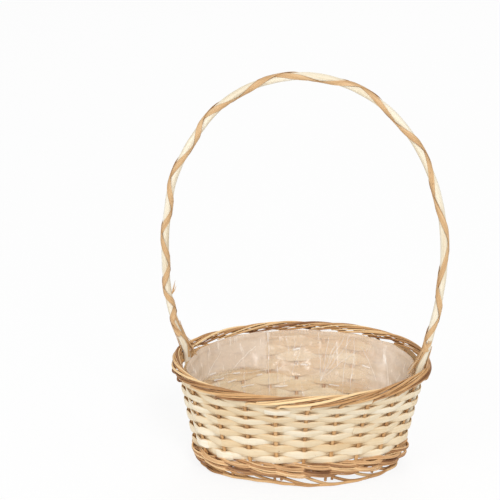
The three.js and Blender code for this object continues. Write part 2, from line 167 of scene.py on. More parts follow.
# %% The wall's ovals
def oval_at(height):
    """Half-length and half-width of the line that the stakes stand on."""
    low = clamp(height / wale_top)
    high = clamp((height - wale_top) / (weave_top - wale_top))
    length = mix(FOOT_LENGTH, WAIST_LENGTH, low) + (RIM_LENGTH - WAIST_LENGTH) * high
    width = mix(FOOT_WIDTH, WAIST_WIDTH, low) + (RIM_WIDTH - WAIST_WIDTH) * high**SIDE_FLARE
    return length / 2, width / 2


ARC_STEPS = 720
arc_lengths = [0.0]
mid_length, mid_width = oval_at((wale_top + weave_top) / 2)
for step in range(ARC_STEPS):
    angle = (step + 0.5) / ARC_STEPS * math.tau
    speed = math.hypot(mid_length * math.sin(angle), mid_width * math.cos(angle))
    arc_lengths.append(arc_lengths[-1] + speed * math.tau / ARC_STEPS)
spacing = arc_lengths[-1] / STAKE_COUNT
print("stakes every", round(spacing, 4))


def angle_at(place):
    laps = math.floor(place / STAKE_COUNT)
    target = (place / STAKE_COUNT - laps) * arc_lengths[-1]
    step = max(bisect.bisect_left(arc_lengths, target), 1)
    part = (target - arc_lengths[step - 1]) / (arc_lengths[step] - arc_lengths[step - 1])
    return math.tau * (laps + (step - 1 + part) / ARC_STEPS)


def outward(place, height):
    half_length, half_width = oval_at(height)
    angle = angle_at(place)
    return Vector((half_width * math.cos(angle), half_length * math.sin(angle), 0)).normalized()


def level_point(place, out, height):
    """Point at a place and height, a level distance out from the stake line."""
    half_length, half_width = oval_at(height)
    angle = angle_at(place)
    point = Vector((half_length * math.cos(angle), half_width * math.sin(angle), height))
    return point + outward(place, height) * out


def wall_axes(place, height):
    """Directions square out of the sloping wall and up along it."""
    step = 1 * MM
    up = (level_point(place, 0, height + step) - level_point(place, 0, height - step)).normalized()
    level = outward(place, height)
    square = (level - up * level.dot(up)).normalized()
    return square, up


def near_leg(place, width):
    """1 at a leg of the handle, falling to nearly 0 two widths away, in stake spacings."""
    half_lap = STAKE_COUNT / 2
    distance = (place + 1 - LEG_PAST_STAKE + half_lap / 2) % half_lap - half_lap / 2
    return math.exp(-((distance / width) ** 2))


# about STAKE_COUNT / tau, so that noise read on such a circle joins up after a lap
LAP_RADIUS = 3.18


def lap_circle(place, size, height):
    angle = place / LAP_RADIUS
    return Vector((math.cos(angle) * size, math.sin(angle) * size, height))


# %% [markdown]
# ## One helper for every rod and strip
#
# A long piece could be swept as a curve with a bevel, but then its points know nothing of the wood.
# Here a flat grid is rolled up instead: its columns become the sides of the rod's outline and its
# rows become rings along the rod, and each piece's own function says where a point goes. The same
# function gives the point its coordinates in the straight rod, stored as the attribute "grain".
# The materials read that, so the wood's fibres follow every bend. "tone" holds how light the wood
# is there, painted shade in grooves and on the strips' inward turns included, and "edge" runs from
# -1 to 1 across a strip.

# %% Grids rolled into rods and strips
SEAM_GAP = 0.005 * MM
ROD_CREASE, STRIP_CREASE = 0.6, 0.5
materials = {}


def new_piece():
    shape = bmesh.new()
    shape.verts.layers.float_vector.new("grain")
    shape.verts.layers.float.new("tone")
    shape.verts.layers.float.new("edge")
    return shape


def add_length(shape, outline, count, point_at, closed=False, capped=True):
    """A length of the outline with count rings; point_at(ring, x, y) gives point, grain, tone."""
    grain = shape.verts.layers.float_vector["grain"]
    tone = shape.verts.layers.float["tone"]
    edge = shape.verts.layers.float["edge"]
    sides, last = len(outline), count - 1
    grid = bmesh.ops.create_grid(shape, x_segments=sides, y_segments=last, size=0.5)
    seam, ends = [], [[], []]
    for vert in grid["verts"]:
        side = round((vert.co.x + 0.5) * sides)
        ring = round((vert.co.y + 0.5) * last)
        x, y = outline[side % sides]
        vert.co, vert[grain], vert[tone] = point_at(ring, x, y)
        vert[edge] = y
        if side in (0, sides) or (closed and ring in (0, last)):
            seam.append(vert)
        if ring in (0, last):
            ends[ring == last].append(vert)
    bmesh.ops.remove_doubles(shape, verts=seam, dist=SEAM_GAP)
    if closed or not capped:
        return
    for end in ends:
        members = {vert for vert in end if vert.is_valid}
        rim = {line for vert in members for line in vert.link_edges if line.is_boundary}
        loop = [line for line in rim if members.issuperset(line.verts)]
        bmesh.ops.holes_fill(shape, edges=loop)


def finish_piece(shape, name, slot, nodes=(), crease=ROD_CREASE):
    """Turns a piece into an object that rides on the basket and stands for its nodes."""
    bmesh.ops.recalc_face_normals(shape, faces=shape.faces)
    mesh = bpy.data.meshes.new(name)
    shape.to_mesh(mesh)
    shape.free()
    mesh.shade_smooth()
    mesh.set_sharp_from_angle(angle=crease)
    mesh.materials.append(materials[slot])
    piece = bpy.data.objects.new(name, mesh)
    bpy.context.scene.collection.objects.link(piece)
    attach(piece, "root")
    if nodes:
        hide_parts(*nodes)
    return piece


def finish_set(make, count, name, slot, node=None, crease=ROD_CREASE):
    """Numbered pieces, each of which stands for the node with its number."""
    for index in range(count):
        number = f"{index + 1:02d}"
        nodes = [f"{node}_{number}"] if node else []
        finish_piece(make(index), f"{name}_{number}", slot, nodes, crease)
    print(count, "of", name)


def circle(sides):
    return [(math.cos(math.tau * i / sides), math.sin(math.tau * i / sides)) for i in range(sides)]


# %% Paths
def relax(path, rounds=3):
    """Rounds off the corners of a path, with its ends kept."""
    for _ in range(rounds):
        inner = [(a + b * 2 + c) / 4 for a, b, c in zip(path, path[1:], path[2:])]
        path = [path[0], *inner, path[-1]]
    return path


def distances(path):
    along = [0.0]
    for before, after in zip(path, path[1:]):
        along.append(along[-1] + (after - before).length)
    return along


# how often a metre a rod wanders, thickens and changes its tone, and by how much
WANDER_RATE, LUMP_RATE, TONE_RATE = 28, 60, 17
LUMPS, TONE_CHANGE = 0.08, 0.35
# painted shade: in a bundle the wood is darker towards the middle, in the grooves between rods: how
# much, from where, and over what depth
GROOVE_PAINTED_SHADE, GROOVE_TOP, GROOVE_DEPTH = 0.8, 4.9 * MM, 1.5 * MM
NORTH, ABOVE = Vector((0, 1, 0)), Vector((0, 0, 1))
# the height at which a stake, a border rod or a curl takes its outward direction
SIDE_HEIGHT = 50 * MM


def waver(along, seed, size):
    """A small smooth wander, the same for the same seed."""
    spot = along * WANDER_RATE
    return Vector((noise.noise(Vector((spot, seed, k * 9.3))) for k in range(3))) * size


def add_rod(
    shape, path, facing, radius, seed, tone, sides=10, wander=0.25 * MM, flat=1, bundle=None
):
    """A round rod along a path, kept above the floor and within the frame's front and back.

    Its side turns towards facing. wander is how far a point may stray, flat how thin the rod is
    pressed, and bundle the middle of the bundle that the rod is in; towards that middle the tone is
    darkened as painted shade in the grooves. All of these, and the radius and the tone, are one
    value or a list with a value for each point of the path.
    """
    count, along = len(path), distances(path)
    facing, radius, tone = (for_each(value, count) for value in (facing, radius, tone))
    wander, flat, bundle = (for_each(value, count) for value in (wander, flat, bundle))
    path = [point + waver(place, seed, stray) for point, place, stray in zip(path, along, wander)]
    axes = []
    for i in range(count):
        ahead = (path[min(i + 1, count - 1)] - path[max(i - 1, 0)]).normalized()
        up = facing[i].cross(ahead).normalized()
        axes.append((ahead.cross(up), up))

    def point_at(ring, x, y):
        side, up = axes[ring]
        lumps = LUMPS * noise.noise(Vector((along[ring] * LUMP_RATE, seed, 3)))
        size = radius[ring] * (1 + lumps)
        shade = tone[ring] + TONE_CHANGE * noise.noise(Vector((along[ring] * TONE_RATE, seed, 8)))
        point = path[ring] + side * (x * size * flat[ring]) + up * (y * size)
        point.y, point.z = clamp(point.y, cad_box[0][1], cad_box[1][1]), max(point.z, 0)
        # painted shade: darker the deeper the point lies in the bundle's grooves
        if bundle[ring]:
            depth = GROOVE_TOP - (point - bundle[ring]).length
            shade -= GROOVE_PAINTED_SHADE * smooth(depth / GROOVE_DEPTH)
        return point, Vector((along[ring] + seed * 0.7, x * size, y * size)), shade

    add_length(shape, circle(sides), count, point_at)


# %% [markdown]
# ## Wood
#
# Willow has long straight fibres, so every wood here is made of noise that is stretched along the
# rod. The class below wraps a node's output, so that the sums between the nodes can be written as
# plain Python sums.


# %% Shader sums as Python sums
class Signal:
    """A number that varies over a surface, held by a node's output."""

    def __init__(self, wires, socket):
        self.wires = wires
        self.socket = socket

    def maths(self, operation, *others):
        values = {i: value for i, value in enumerate((self, *others))}
        return self.wires.node("ShaderNodeMath", values, operation=operation)

    def __add__(self, other):
        return self.maths("ADD", other)

    __radd__ = __add__

    def __mul__(self, other):
        return self.maths("MULTIPLY", other)

    __rmul__ = __mul__

    def __sub__(self, other):
        return self.maths("SUBTRACT", other)

    def __rsub__(self, other):
        return (self * -1.0) + other


def colour(red, green, blue):
    """A colour as it shows on a screen, 0 to 255, turned into the linear values of a shader."""
    parts = [part / 255 for part in (red, green, blue)]
    linear = [
        part / 12.92 if part <= 0.04045 else ((part + 0.055) / 1.055) ** 2.4 for part in parts
    ]
    return (*linear, 1.0)


# %% Nodes of one material
class Wires:
    """The nodes of one material."""

    def __init__(self, name):
        self.material = bpy.data.materials.new(name)
        self.material.use_nodes = True
        self.tree = self.material.node_tree
        self.shader = self.tree.nodes["Principled BSDF"]

    def node(self, kind, inputs=None, output=0, stops=None, **settings):
        """Adds a node: its settings first, then the values or links of its sockets."""
        made = self.tree.nodes.new(kind)
        for key, value in settings.items():
            setattr(made, key, value)
        if stops:
            elements = made.color_ramp.elements
            while len(elements) < len(stops):
                elements.new(1.0)
            for element, (position, parts) in zip(elements, stops):
                element.position = position
                element.color = colour(*parts)
        for key, value in (inputs or {}).items():
            self.feed(made.inputs[key], value)
        return Signal(self, made.outputs[output])

    def feed(self, socket, value):
        if isinstance(value, Signal):
            self.tree.links.new(value.socket, socket)
        else:
            socket.default_value = value

    def attribute(self, name, output="Fac"):
        return self.node("ShaderNodeAttribute", output=output, attribute_name=name)

    def vector(self, operation, first, second, output="Vector"):
        """A sum of two vectors, or with SCALE of a vector and a number."""
        inputs = {0: first, "Scale" if operation == "SCALE" else 1: second}
        return self.node("ShaderNodeVectorMath", inputs, output, operation=operation)

    def noise(self, vector, detail=3.0, roughness=0.55, scale=1.0):
        inputs = {"Vector": vector, "Scale": scale, "Detail": detail, "Roughness": roughness}
        return self.node("ShaderNodeTexNoise", inputs)

    def fibres(self, along, across, detail, roughness=0.55):
        """Noise on the grain coordinates, drawn out along the wood."""
        grain = self.vector("MULTIPLY", self.attribute("grain", "Vector"), (along, across, across))
        return self.noise(grain, detail, roughness)

    def between(self, value, low, high, start=0.0, end=1.0):
        """Start below low and end above high, with a smooth change between."""
        inputs = {"Value": value, 1: low, 2: high, 3: start, 4: end}
        return self.node("ShaderNodeMapRange", inputs, interpolation_type="SMOOTHSTEP")

    def blend(self, factor, first, second):
        inputs = {"Factor": factor, 6: first, 7: second}
        return self.node("ShaderNodeMix", inputs, output=2, data_type="RGBA")

    def bump(self, height, strength, depth):
        inputs = {"Height": height, "Strength": strength, "Distance": depth}
        return self.node("ShaderNodeBump", inputs)

    def surface(self, **inputs):
        for key, value in inputs.items():
            self.feed(self.shader.inputs[key.replace("_", " ")], value)
        return self.material


# %% [markdown]
# ### One recipe for wood
#
# Each wood adds up two or three layers of fibres and turns the sum into a colour by a ramp. Then
# come darker edges, where bark is left on a split strip, and marks: buds, knots or specks.


# %% Wood
def make_wood(name, layers, ramp, roughness, bump, tone=None, edge=None, marks=None):
    """A material; what each value holds is said where the woods are listed."""
    wires = Wires(name)
    parts = [wires.fibres(*scales) for _, *scales in layers]
    shade, *others = [part * weight for part, (weight, *_) in zip(parts, layers)]
    for part in others:
        shade = shade + part
    if tone:
        shade = shade + wires.attribute("tone") * tone[0] - tone[1]
    wood = wires.node("ShaderNodeValToRGB", {"Fac": shade}, stops=ramp)
    if edge:
        stray, low, high, strength, dark = edge
        across = wires.attribute("edge").maths("ABSOLUTE")
        if stray:
            across = across + (parts[1] - 0.5) * stray
        wood = wires.blend(wires.between(across, low, high, 0.0, strength), wood, colour(*dark))
    if marks:
        scales, low, high, strength, dark = marks
        spots = wires.fibres(*scales)
        wood = wires.blend(wires.between(spots, low, high, 0.0, strength), wood, colour(*dark))
    if isinstance(roughness, tuple):
        roughness = wires.between(parts[0], *roughness)
    share, strength, depth = bump
    height = parts[0] if share == 1 else parts[0] * share + parts[1] * (1 - share)
    normal = wires.bump(height, strength, depth)
    return wires.surface(Base_Color=wood, Roughness=roughness, Normal=normal)


# %% [markdown]
# The stakes, the border and the foot are whole rods with a thin tan bark, streaked lengthwise and
# darker here and there where a bud was. The twisted rods are the same wood in brown. The strips
# are split and planed flat, cream with very fine fibres and a few pin knots. The hoop is peeled
# and pale, and the skeins round it are tan bark.

# %% The woods
# layers: weight, scale along and across, detail, roughness of the noise; roughness: one value, or
# from and to where in the first layer it changes and its two values; bump: share of the first
# layer, strength, depth; tone: weight of a piece's own tone, and what is taken off; edge: how far
# it strays, from and to where, strength, colour; marks: their noise, then the same
for slot, name, dark, base, light in (
    ("willow_rod", "willow_bark", (134, 88, 48), (200, 153, 100), (240, 208, 158)),
    ("brown_willow", "brown_bark", (122, 80, 46), (192, 145, 98), (228, 192, 144)),
):
    materials[slot] = make_wood(
        name,
        layers=[(0.55, 70, 1100, 4), (0.4, 22, 150, 2)],
        ramp=[(0.15, dark), (0.45, base), (0.82, light)],
        roughness=(0.2, 0.8, 0.5, 0.68),
        bump=(0.7, 0.45, 0.25 * MM),
        tone=(0.6, 0.28),
        marks=((45, 260, 1), 0.7, 0.8, 0.4, dark),
    )
materials["split_willow"] = make_wood(
    "split_willow",
    layers=[(0.4, 26, 2300, 5, 0.7), (0.35, 9, 420, 2), (0.3, 14, 60, 2)],
    ramp=[
        (0.08, (204, 162, 110)), (0.32, (225, 200, 160)), (0.56, (236, 222, 194)),
        (0.82, (246, 239, 222)),
    ],
    roughness=(0.25, 0.75, 0.48, 0.66),
    bump=(0.6, 0.4, 0.2 * MM),
    tone=(0.5, 0.28),
    edge=(0.5, 0.8, 1.05, 0.5, (204, 164, 112)),
    marks=((180, 420, 0), 0.86, 0.9, 0.8, (150, 98, 56)),
)
materials["peeled_willow"] = make_wood(
    "peeled_willow",
    layers=[(0.4, 14, 900, 3, 0.6), (0.6, 12, 130, 2)],
    ramp=[(0.3, (208, 190, 158)), (0.52, (226, 215, 192)), (0.72, (238, 231, 216))],
    roughness=0.55,
    bump=(1, 0.2, 0.15 * MM),
)
materials["willow_skein"] = make_wood(
    "skein_bark",
    layers=[(0.5, 16, 1500, 4, 0.65), (0.5, 20, 170, 2)],
    ramp=[(0.3, (172, 132, 90)), (0.5, (200, 162, 116)), (0.72, (220, 188, 146))],
    roughness=0.52,
    bump=(1, 0.4, 0.2 * MM),
    edge=(0, 0.78, 0.98, 0.75, (150, 104, 60)),
    marks=((150, 500, 0), 0.8, 0.86, 0.8, (104, 66, 36)),
)
print("woods", list(materials))

# %% [markdown]
# ## Stakes
#
# A stake is one long rod. Its lower end leaves the brown rods, slants down to the floor and runs
# on along it, from lane to lane. Its upper end is laid down to the right and rolled with the next
# ones into the border. The foot was bent in use: it has a corner at the front and a dent at the
# left of it.

# %% Paths of a stake
foot_centre = FOOT_ROD_RADIUS - 0.5 * MM
foot_bend = FOOT_HEIGHT - FOOT_ROD_RADIUS
strand_turn = math.tau / BORDER_STRANDS
tight_reach = (2 * FOOT_ROD_RADIUS + CLEARANCE) / (2 * math.sin(strand_turn / 2))
leg_overhang = LEG_OUTSET + LEG_RADIUS + LEG_ROOM + FOOT_ROD_RADIUS + tight_reach
STATION = 3 * MM
CORNER_PLACE, CORNER_WIDTH, CORNER_OUT = 16, 1.5, 4.5
DENT_PLACE, DENT_WIDTH, DENT_IN, DENT_UP = 12.8, 1.7, 2, 1.6


def foot_point(stake, spacings):
    """Point of a stake's lower end, some spacings on from where it leaves the brown rods."""
    place = (stake + spacings) % STAKE_COUNT
    corner = math.exp(-(((place - CORNER_PLACE) / CORNER_WIDTH) ** 2))
    dent = math.exp(-(((place - DENT_PLACE) / DENT_WIDTH) ** 2))
    fallen = min(spacings, 1)
    lane = spacings - fallen
    out = -FOOT_LANE / 2 * math.sin(fallen * math.pi / 2) + FOOT_LANE * min(lane, 1.15)
    out -= FOOT_LANE * 0.75 * smooth((lane - 1.1) / 0.9)
    out += (CORNER_OUT * corner - DENT_IN * dent) * MM * fallen
    height = mix(foot_centre, foot_bend, (1 - fallen) ** 1.3)
    height += 1.6 * MM * smooth((lane - 0.25) / 0.7) - 1.2 * MM * smooth((lane - 1.3) / 0.7)
    height += DENT_UP * MM * dent * fallen
    return level_point(stake + spacings, out, height)


def border_point(start, spacings, reach=BORDER_REACH, rise=BORDER_RISE):
    """Point of a rod in the border's roll, which is pulled tight and out round a leg."""
    place = start + spacings
    squeeze = near_leg(place, 0.5)
    reach = mix(reach, tight_reach, squeeze)
    overhang = mix(BORDER_OVERHANG, leg_overhang, squeeze)
    turn = -math.pi / 2 + strand_turn * spacings
    height = border_height + rise * math.sin(turn)
    return level_point(place, overhang + reach * math.cos(turn), height)


def border_middle(place):
    overhang = mix(BORDER_OVERHANG, leg_overhang, near_leg(place, 0.5))
    return level_point(place, overhang, border_height)


# %% Stakes with their border and foot
FOOT_TIP, BORDER_START, BORDER_TIP = 2.95, 0.12, 4.5
FLAT_STAKE = 0.68


def make_stake(stake):
    chance = random.Random(stake)
    foot_tip = FOOT_TIP + chance.uniform(-0.2, 0.2)
    border_tip = BORDER_TIP + chance.uniform(-0.15, 0.1)
    foot = steps_between(foot_tip, 0, STATION / spacing)
    heights = steps_between(FOOT_HEIGHT + WALE_RADIUS, weave_top, STATION * 1.5)
    border = steps_between(BORDER_START, border_tip, STATION / spacing)

    def stretches(low, middle, high):
        """A list for the whole stake, from values for its foot, its upright and its border."""
        return [
            *for_each(low, len(foot)), *for_each(middle, len(heights)), *for_each(high, len(border))
        ]

    path = stretches(
        [foot_point(stake, place) for place in foot],
        [level_point(stake, 0, height) for height in heights],
        [border_point(stake, place) for place in border],
    )
    radius = stretches(
        [mix(1.3 * MM, FOOT_ROD_RADIUS, smooth(1.2 - place / foot_tip)) for place in foot],
        STAKE_RADIUS * 1.1,
        [mix(1.7 * MM, 1.2 * MM, place / border_tip) for place in border],
    )
    facing = stretches(
        [outward(stake + place, SIDE_HEIGHT) for place in foot],
        outward(stake, SIDE_HEIGHT),
        [outward(stake + place, SIDE_HEIGHT) for place in border],
    )
    tone = stretches(chance.uniform(0.1, 0.7), 0.4, chance.uniform(0.0, 1.15))
    shape = new_piece()
    add_rod(
        shape, relax(path), facing, radius, stake * 3.7, tone,
        wander=stretches(0.4 * MM, 0.1 * MM, 0.65 * MM), flat=stretches(1, FLAT_STAKE, 1),
        bundle=stretches(None, None, [border_middle(stake + place) for place in border]),
    )
    return shape


finish_set(make_stake, STAKE_COUNT, "willow_stake", "willow_rod", "stake")

# %% [markdown]
# ### Small rods of the border and the foot
#
# A thinner rod pushed in beside each stake fills the border's hollows. A few ends are turned back
# under the border, most of them at the left end, and short extra rods stand in the brown rods.


# %% Thin rods beside the stakes
def make_border_filler(stake):
    chance = random.Random(100 + stake)
    tip = 4.1 + chance.uniform(-0.2, 0.2)
    start = stake + 0.5
    steps = steps_between(chance.uniform(0.5, 1.2), tip, STATION / spacing)
    reach = (chance.uniform(3.1, 3.8) if stake % 3 else 5.0) * MM
    path = relax([border_point(start, step, reach, reach + 0.6 * MM) for step in steps], 6)
    thick, thin = chance.uniform(0.8, 1.15), 0.8
    places = [start + step for step in steps]
    shape = new_piece()
    add_rod(
        shape, path, [outward(place, SIDE_HEIGHT) for place in places],
        [mix(thick, thin, step / tip) * MM for step in steps], stake * 3.7 + 1.9,
        chance.uniform(0.0, 1.3), 8, wander=0.6 * MM,
        bundle=[border_middle(place) for place in places],
    )
    return shape


finish_set(make_border_filler, STAKE_COUNT, "border_rod", "willow_rod")

# %% Curls under the border
CURL_PLACES = (9.35, 9.75, 10.15, 10.6, 19.4, 0.3)
CURL_START, CURL_END = 100, -150
CURL_OUT, CURL_DOWN = BORDER_OVERHANG + 1 * MM, 6 * MM


def make_border_curls():
    """Ends of rods that are turned back under the border."""
    shape = new_piece()
    chance = random.Random(910)
    for place in CURL_PLACES:
        size = chance.uniform(2.6, 4.2) * MM
        lean = chance.uniform(-0.12, 0.12)
        path, radii = [], []
        for share in shares(15):
            turn = math.radians(mix(CURL_START, CURL_END, share))
            height = border_height - CURL_DOWN + size * 1.1 * math.sin(turn)
            path.append(level_point(place + lean * share, CURL_OUT + size * math.cos(turn), height))
            radii.append(mix(1.5, 1.1, share) * MM)
        across = outward(place + STAKE_COUNT / 4, SIDE_HEIGHT)
        tone = chance.uniform(-0.2, 0.7)
        add_rod(shape, path, across, radii, place, tone, 9, wander=0.5 * MM)
    return shape


finish_piece(make_border_curls(), "border_curls", "willow_rod")

# %% Cut ends in the foot
STUB_PLACES = (2.13, 5.88, 9.12, 12.12, 13.87, 14.13, 15.87, 16.14, 17.88, 19.12)


def make_foot_stubs():
    """Short extra rods pushed up into the brown rods; their cut ends show above the floor."""
    shape = new_piece()
    chance = random.Random(900)
    for place in STUB_PLACES:
        heights = steps_between(chance.uniform(4.5, 7) * MM, wale_top - 2 * MM, STATION)
        path = [level_point(place, -0.6 * MM, height) for height in heights]
        add_rod(shape, path, outward(place, 0.01), 1.65 * MM, place, 0.2, 9)
    return shape


finish_piece(make_foot_stubs(), "foot_stubs", "willow_rod")
print("stakes done")

# %% [markdown]
# ## Wale
#
# Three brown rods go round together, each in front of two stakes and behind the third, and then
# once more above. The twist shows as long slanting strokes. Two thinner rods wander beside each.

# %% Wale
WALE_START, WALE_LAP, WALE_STEP = 4 + 1 / 3, 0.1, 0.1
COMPANION_SHIFT, COMPANION_SWAY, COMPANION_RADIUS = 2.2 * MM, 0.6, 0.95 * MM


def make_wale_rod(index):
    round_index, rod = divmod(index, WALE_RODS)
    swing = (STAKE_RADIUS + WALE_RADIUS + 2 * CLEARANCE) / 0.75
    height = FOOT_HEIGHT + WALE_RADIUS + wale_twist + round_index * wale_pitch
    places = steps_between(WALE_START - WALE_LAP, WALE_START + STAKE_COUNT + WALE_LAP, WALE_STEP)
    turns = [math.tau * (place + rod) / WALE_RODS for place in places]
    facing = [outward(place, height) for place in places]
    path = [
        level_point(place, swing / 4 - swing * math.cos(turn), height + wale_twist * math.sin(turn))
        for place, turn in zip(places, turns)
    ]
    shape = new_piece()
    chance = random.Random(200 + index)
    seed = index * 5.3
    add_rod(
        shape, path, facing, WALE_RADIUS * 0.92, seed + 0.4, chance.uniform(0.2, 1.2),
        wander=0.8 * MM,
    )
    for side in (-1, 1):
        beside = [
            point + ABOVE * COMPANION_SHIFT * side
            + face * COMPANION_SWAY * MM * math.sin(turn * 2 + side)
            for point, face, turn in zip(path, facing, turns)
        ]
        add_rod(
            shape, beside, facing, COMPANION_RADIUS, seed + side, chance.uniform(-0.2, 1.4), 8,
            wander=1.6 * MM,
        )
    return shape


finish_set(make_wale_rod, WALE_ROUNDS * WALE_RODS, "twisted_rod", "brown_willow", "wale_rod")

# %% [markdown]
# ## Weaving strips
#
# A flat strip does not bend in a wave. It folds sharply over each stake and runs straight between,
# so each row is a zigzag of flat facets. In front of a stake it is narrow, so that the stake shows
# above and below. It spreads just beside the stake and is widest behind one. Its section is flat
# inside and a little crowned outside. Its inward turns and its flat inner face are painted darker,
# as shade.

# %% Course of a strip
FOLD = 0.16
GAP_STOPS = [0, 0.035, 0.075, 0.13, 0.21, 0.3, 0.4, 0.5, 0.6, 0.7, 0.79, 0.87, 0.925, 0.965]
LAP_PLACES = [stake + stop for stake in range(STAKE_COUNT) for stop in GAP_STOPS] + [STAKE_COUNT]
STRIP_OUTLINE = [
    (-1, -0.88), (-0.6, -1), (0.35, -0.97), (0.85, -0.8), (1.15, -0.4), (1.22, 0),
    (1.15, 0.4), (0.85, 0.8), (0.35, 0.97), (-0.6, 1), (-1, 0.88), (-1, 0),
]
SWING_ALONG_SIDES, SWING_AT_ENDS = 0.74, 1.2
SPREAD_LOW, SPREAD_HIGH, SPREAD_BESIDE, SPREAD_BEHIND = 0.7, 0.1, 1.1, 2.4


def strip_half(row, out, wave, up):
    """Half a strip's height up the sloping wall; wave is 1 at a stake and 0 half way."""
    spread = SPREAD_BEHIND
    if out > 0:
        spread = mix(SPREAD_LOW, SPREAD_HIGH, row / (ROW_COUNT - 1))
        spread += SPREAD_BESIDE * smooth((1 - wave) / 0.3)
    return pitch_at(row) / (2 * up.z) + 0.1 * MM + spread * MM * smooth(wave / 0.6)


def pressed_at(place):
    """How far a strip swings at a place: pressed flat along the sides, and full at the two ends."""
    return mix(SWING_ALONG_SIDES, SWING_AT_ENDS, abs(math.cos(angle_at(place))) ** 6)


def strip_out(place, row, height):
    """How far out a strip's middle is: full at each stake, and still on that side at a leg."""
    stake = math.floor(place)
    part = place - stake
    beside_leg = (stake + 1) % (STAKE_COUNT // 2) == 0
    uncrossed = LEG_PAST_STAKE + 0.16
    share = max((part - uncrossed) / (1 - uncrossed), 0) if beside_leg else part
    side = 1 if (stake + row) % 2 == 0 else -1
    wave = 1 - 2 * share
    if abs(wave) > 1 - FOLD:
        wave = math.copysign(1 - FOLD / 2 - (1 - abs(wave)) ** 2 / (2 * FOLD), wave)
    pressed = pressed_at(place)
    wave *= pressed / (1 - FOLD / 2)
    leg_part = clamp((height - LEG_TIP_HEIGHT) / (border_height - LEG_TIP_HEIGHT))
    leg = mix(LEG_TIP_RADIUS, LEG_RADIUS, leg_part)
    half = (pitch_at(row) + STRIP_OVERLAP) / 2
    has_leg = height + half + CLEARANCE > LEG_TIP_HEIGHT
    swell = (leg - STAKE_RADIUS + LEG_ROOM - CLEARANCE) * near_leg(place, 0.22) if has_leg else 0
    return side * wave * (strip_offset + swell), abs(wave) / pressed


# %% Rows of split willow
ROW_LENGTHS, ROW_LAPS = 7, 2
# painted shade: how much darker the inward turns near a stake and the strips' inner faces are
INWARD_PAINTED_SHADE, BACK_FACE_PAINTED_SHADE, TOP_CROWN = 0.45, 0.35, 2.6 * MM


def make_row(row):
    chance = random.Random(300 + row)
    narrow = (pitch_at(row) - ROW_GAP) / 2
    height = row_heights[row]
    lengths = [chance.uniform(0.2, 0.75) for _ in range(ROW_LENGTHS)]
    bricks = [chance.uniform(-0.15, 0.15) for _ in range(STAKE_COUNT + 1)]
    stations = []
    for place in LAP_PLACES:
        lap = place % STAKE_COUNT
        out, wave = strip_out(place, row, height)
        square, up = wall_axes(place, height)
        rise = 0.45 * MM * noise.noise(lap_circle(lap, 2, row * 3.4))
        centre = level_point(place, 0, height) + square * out + up * rise
        half = strip_half(row, out, wave, up)
        length = int(lap / STAKE_COUNT * ROW_LENGTHS) % ROW_LENGTHS
        tone = lengths[length] + bricks[int((lap + row % 2) // 2)]
        inward = -out / (strip_offset * pressed_at(place))
        crown = TOP_CROWN * smooth(abs(inward)) if row == ROW_COUNT - 1 else 0
        stations.append((centre, square, up, half, crown, lap * spacing, tone, inward))

    def point_at(ring, x, y):
        centre, square, up, half, crown, along, tone, inward = stations[ring]
        reach = narrow if row == 0 and y < 0 else half + crown * max(y, 0)
        thick = STRIP_THICKNESS / 2 * x
        point = centre + square * thick + up * (y * reach)
        # painted shade on the inward turns near a stake and on the flat inner face
        shade = INWARD_PAINTED_SHADE * smooth(inward * 1.2 - 0.2) if x > -0.5 else BACK_FACE_PAINTED_SHADE
        return point, Vector((along + row * 1.3, thick, y * half)), tone - shade

    shape = new_piece()
    add_length(shape, STRIP_OUTLINE, len(LAP_PLACES), point_at, closed=True)
    for _ in range(ROW_LAPS):
        add_lap(shape, row, chance)
    return shape


def add_lap(shape, row, chance):
    """The squared end of a new strip, laid over the old one."""
    height = row_heights[row]
    front = 2 * chance.randrange(STAKE_COUNT // 2) + row % 2
    first, last = front - 0.34, front + chance.uniform(0.3, 0.5)
    if near_leg(front, 1.2) > 0.2:
        return
    places = steps_between(first, last, 0.04)
    tone = chance.uniform(0.4, 0.95)
    stations = []
    for place in places:
        out, wave = strip_out(place % STAKE_COUNT, row, height)
        square, up = wall_axes(place, height)
        centre = level_point(place, 0, height) + square * (out + STRIP_THICKNESS * 0.8)
        stations.append((centre, square, up, strip_half(row, out, wave, up) * 0.94))

    def point_at(ring, x, y):
        centre, square, up, half = stations[ring]
        thick = STRIP_THICKNESS / 2 * x * 0.8
        grain = Vector((places[ring] * spacing + row * 1.3 + 0.5, thick, y * half))
        return centre + square * thick + up * (y * half), grain, tone

    add_length(shape, STRIP_OUTLINE, len(places), point_at)


finish_set(make_row, ROW_COUNT, "split_strip", "split_willow", "weaving_strip", STRIP_CREASE)

# %% Last strip
TOP_STRIP_LOW, TOP_STRIP_HIGH = weave_top - 1.2 * MM, border_height - 4.5 * MM


def make_top_strip():
    """A last narrow strip in the bend of the stakes, which closes the wall under the border."""

    def point_at(ring, x, y):
        place = LAP_PLACES[ring] % STAKE_COUNT
        out, _ = strip_out(place, ROW_COUNT, weave_top)
        height = mix(TOP_STRIP_LOW, TOP_STRIP_HIGH, (y + 1) / 2)
        bend = 2.6 * MM * smooth((height - weave_top + 2 * MM) / (8 * MM))
        thick = STRIP_THICKNESS / 2 * x
        point = level_point(place, out * 0.9 + bend + thick, height - thick * 0.4)
        tone = 0.35 + 0.25 * noise.noise(Vector((math.floor(place / 2) * 1.7, 5, 0)))
        # the flat inner face is darker by 0.45: painted shade
        return point, Vector((place * spacing, thick, y * 4 * MM)), tone - 0.45 * (x < -0.5)

    shape = new_piece()
    add_length(shape, STRIP_OUTLINE, len(LAP_PLACES), point_at, closed=True)
    return shape


finish_piece(make_top_strip(), "split_strip_top", "split_willow", crease=STRIP_CREASE)
print("rows done")

# %% [markdown]
# ## Hoop handle
#
# The hoop is one thick peeled rod, bent by hand, so it is not quite even. Its legs go down inside
# the weave beside the two end stakes. A smooth curve through a few points gives its line.


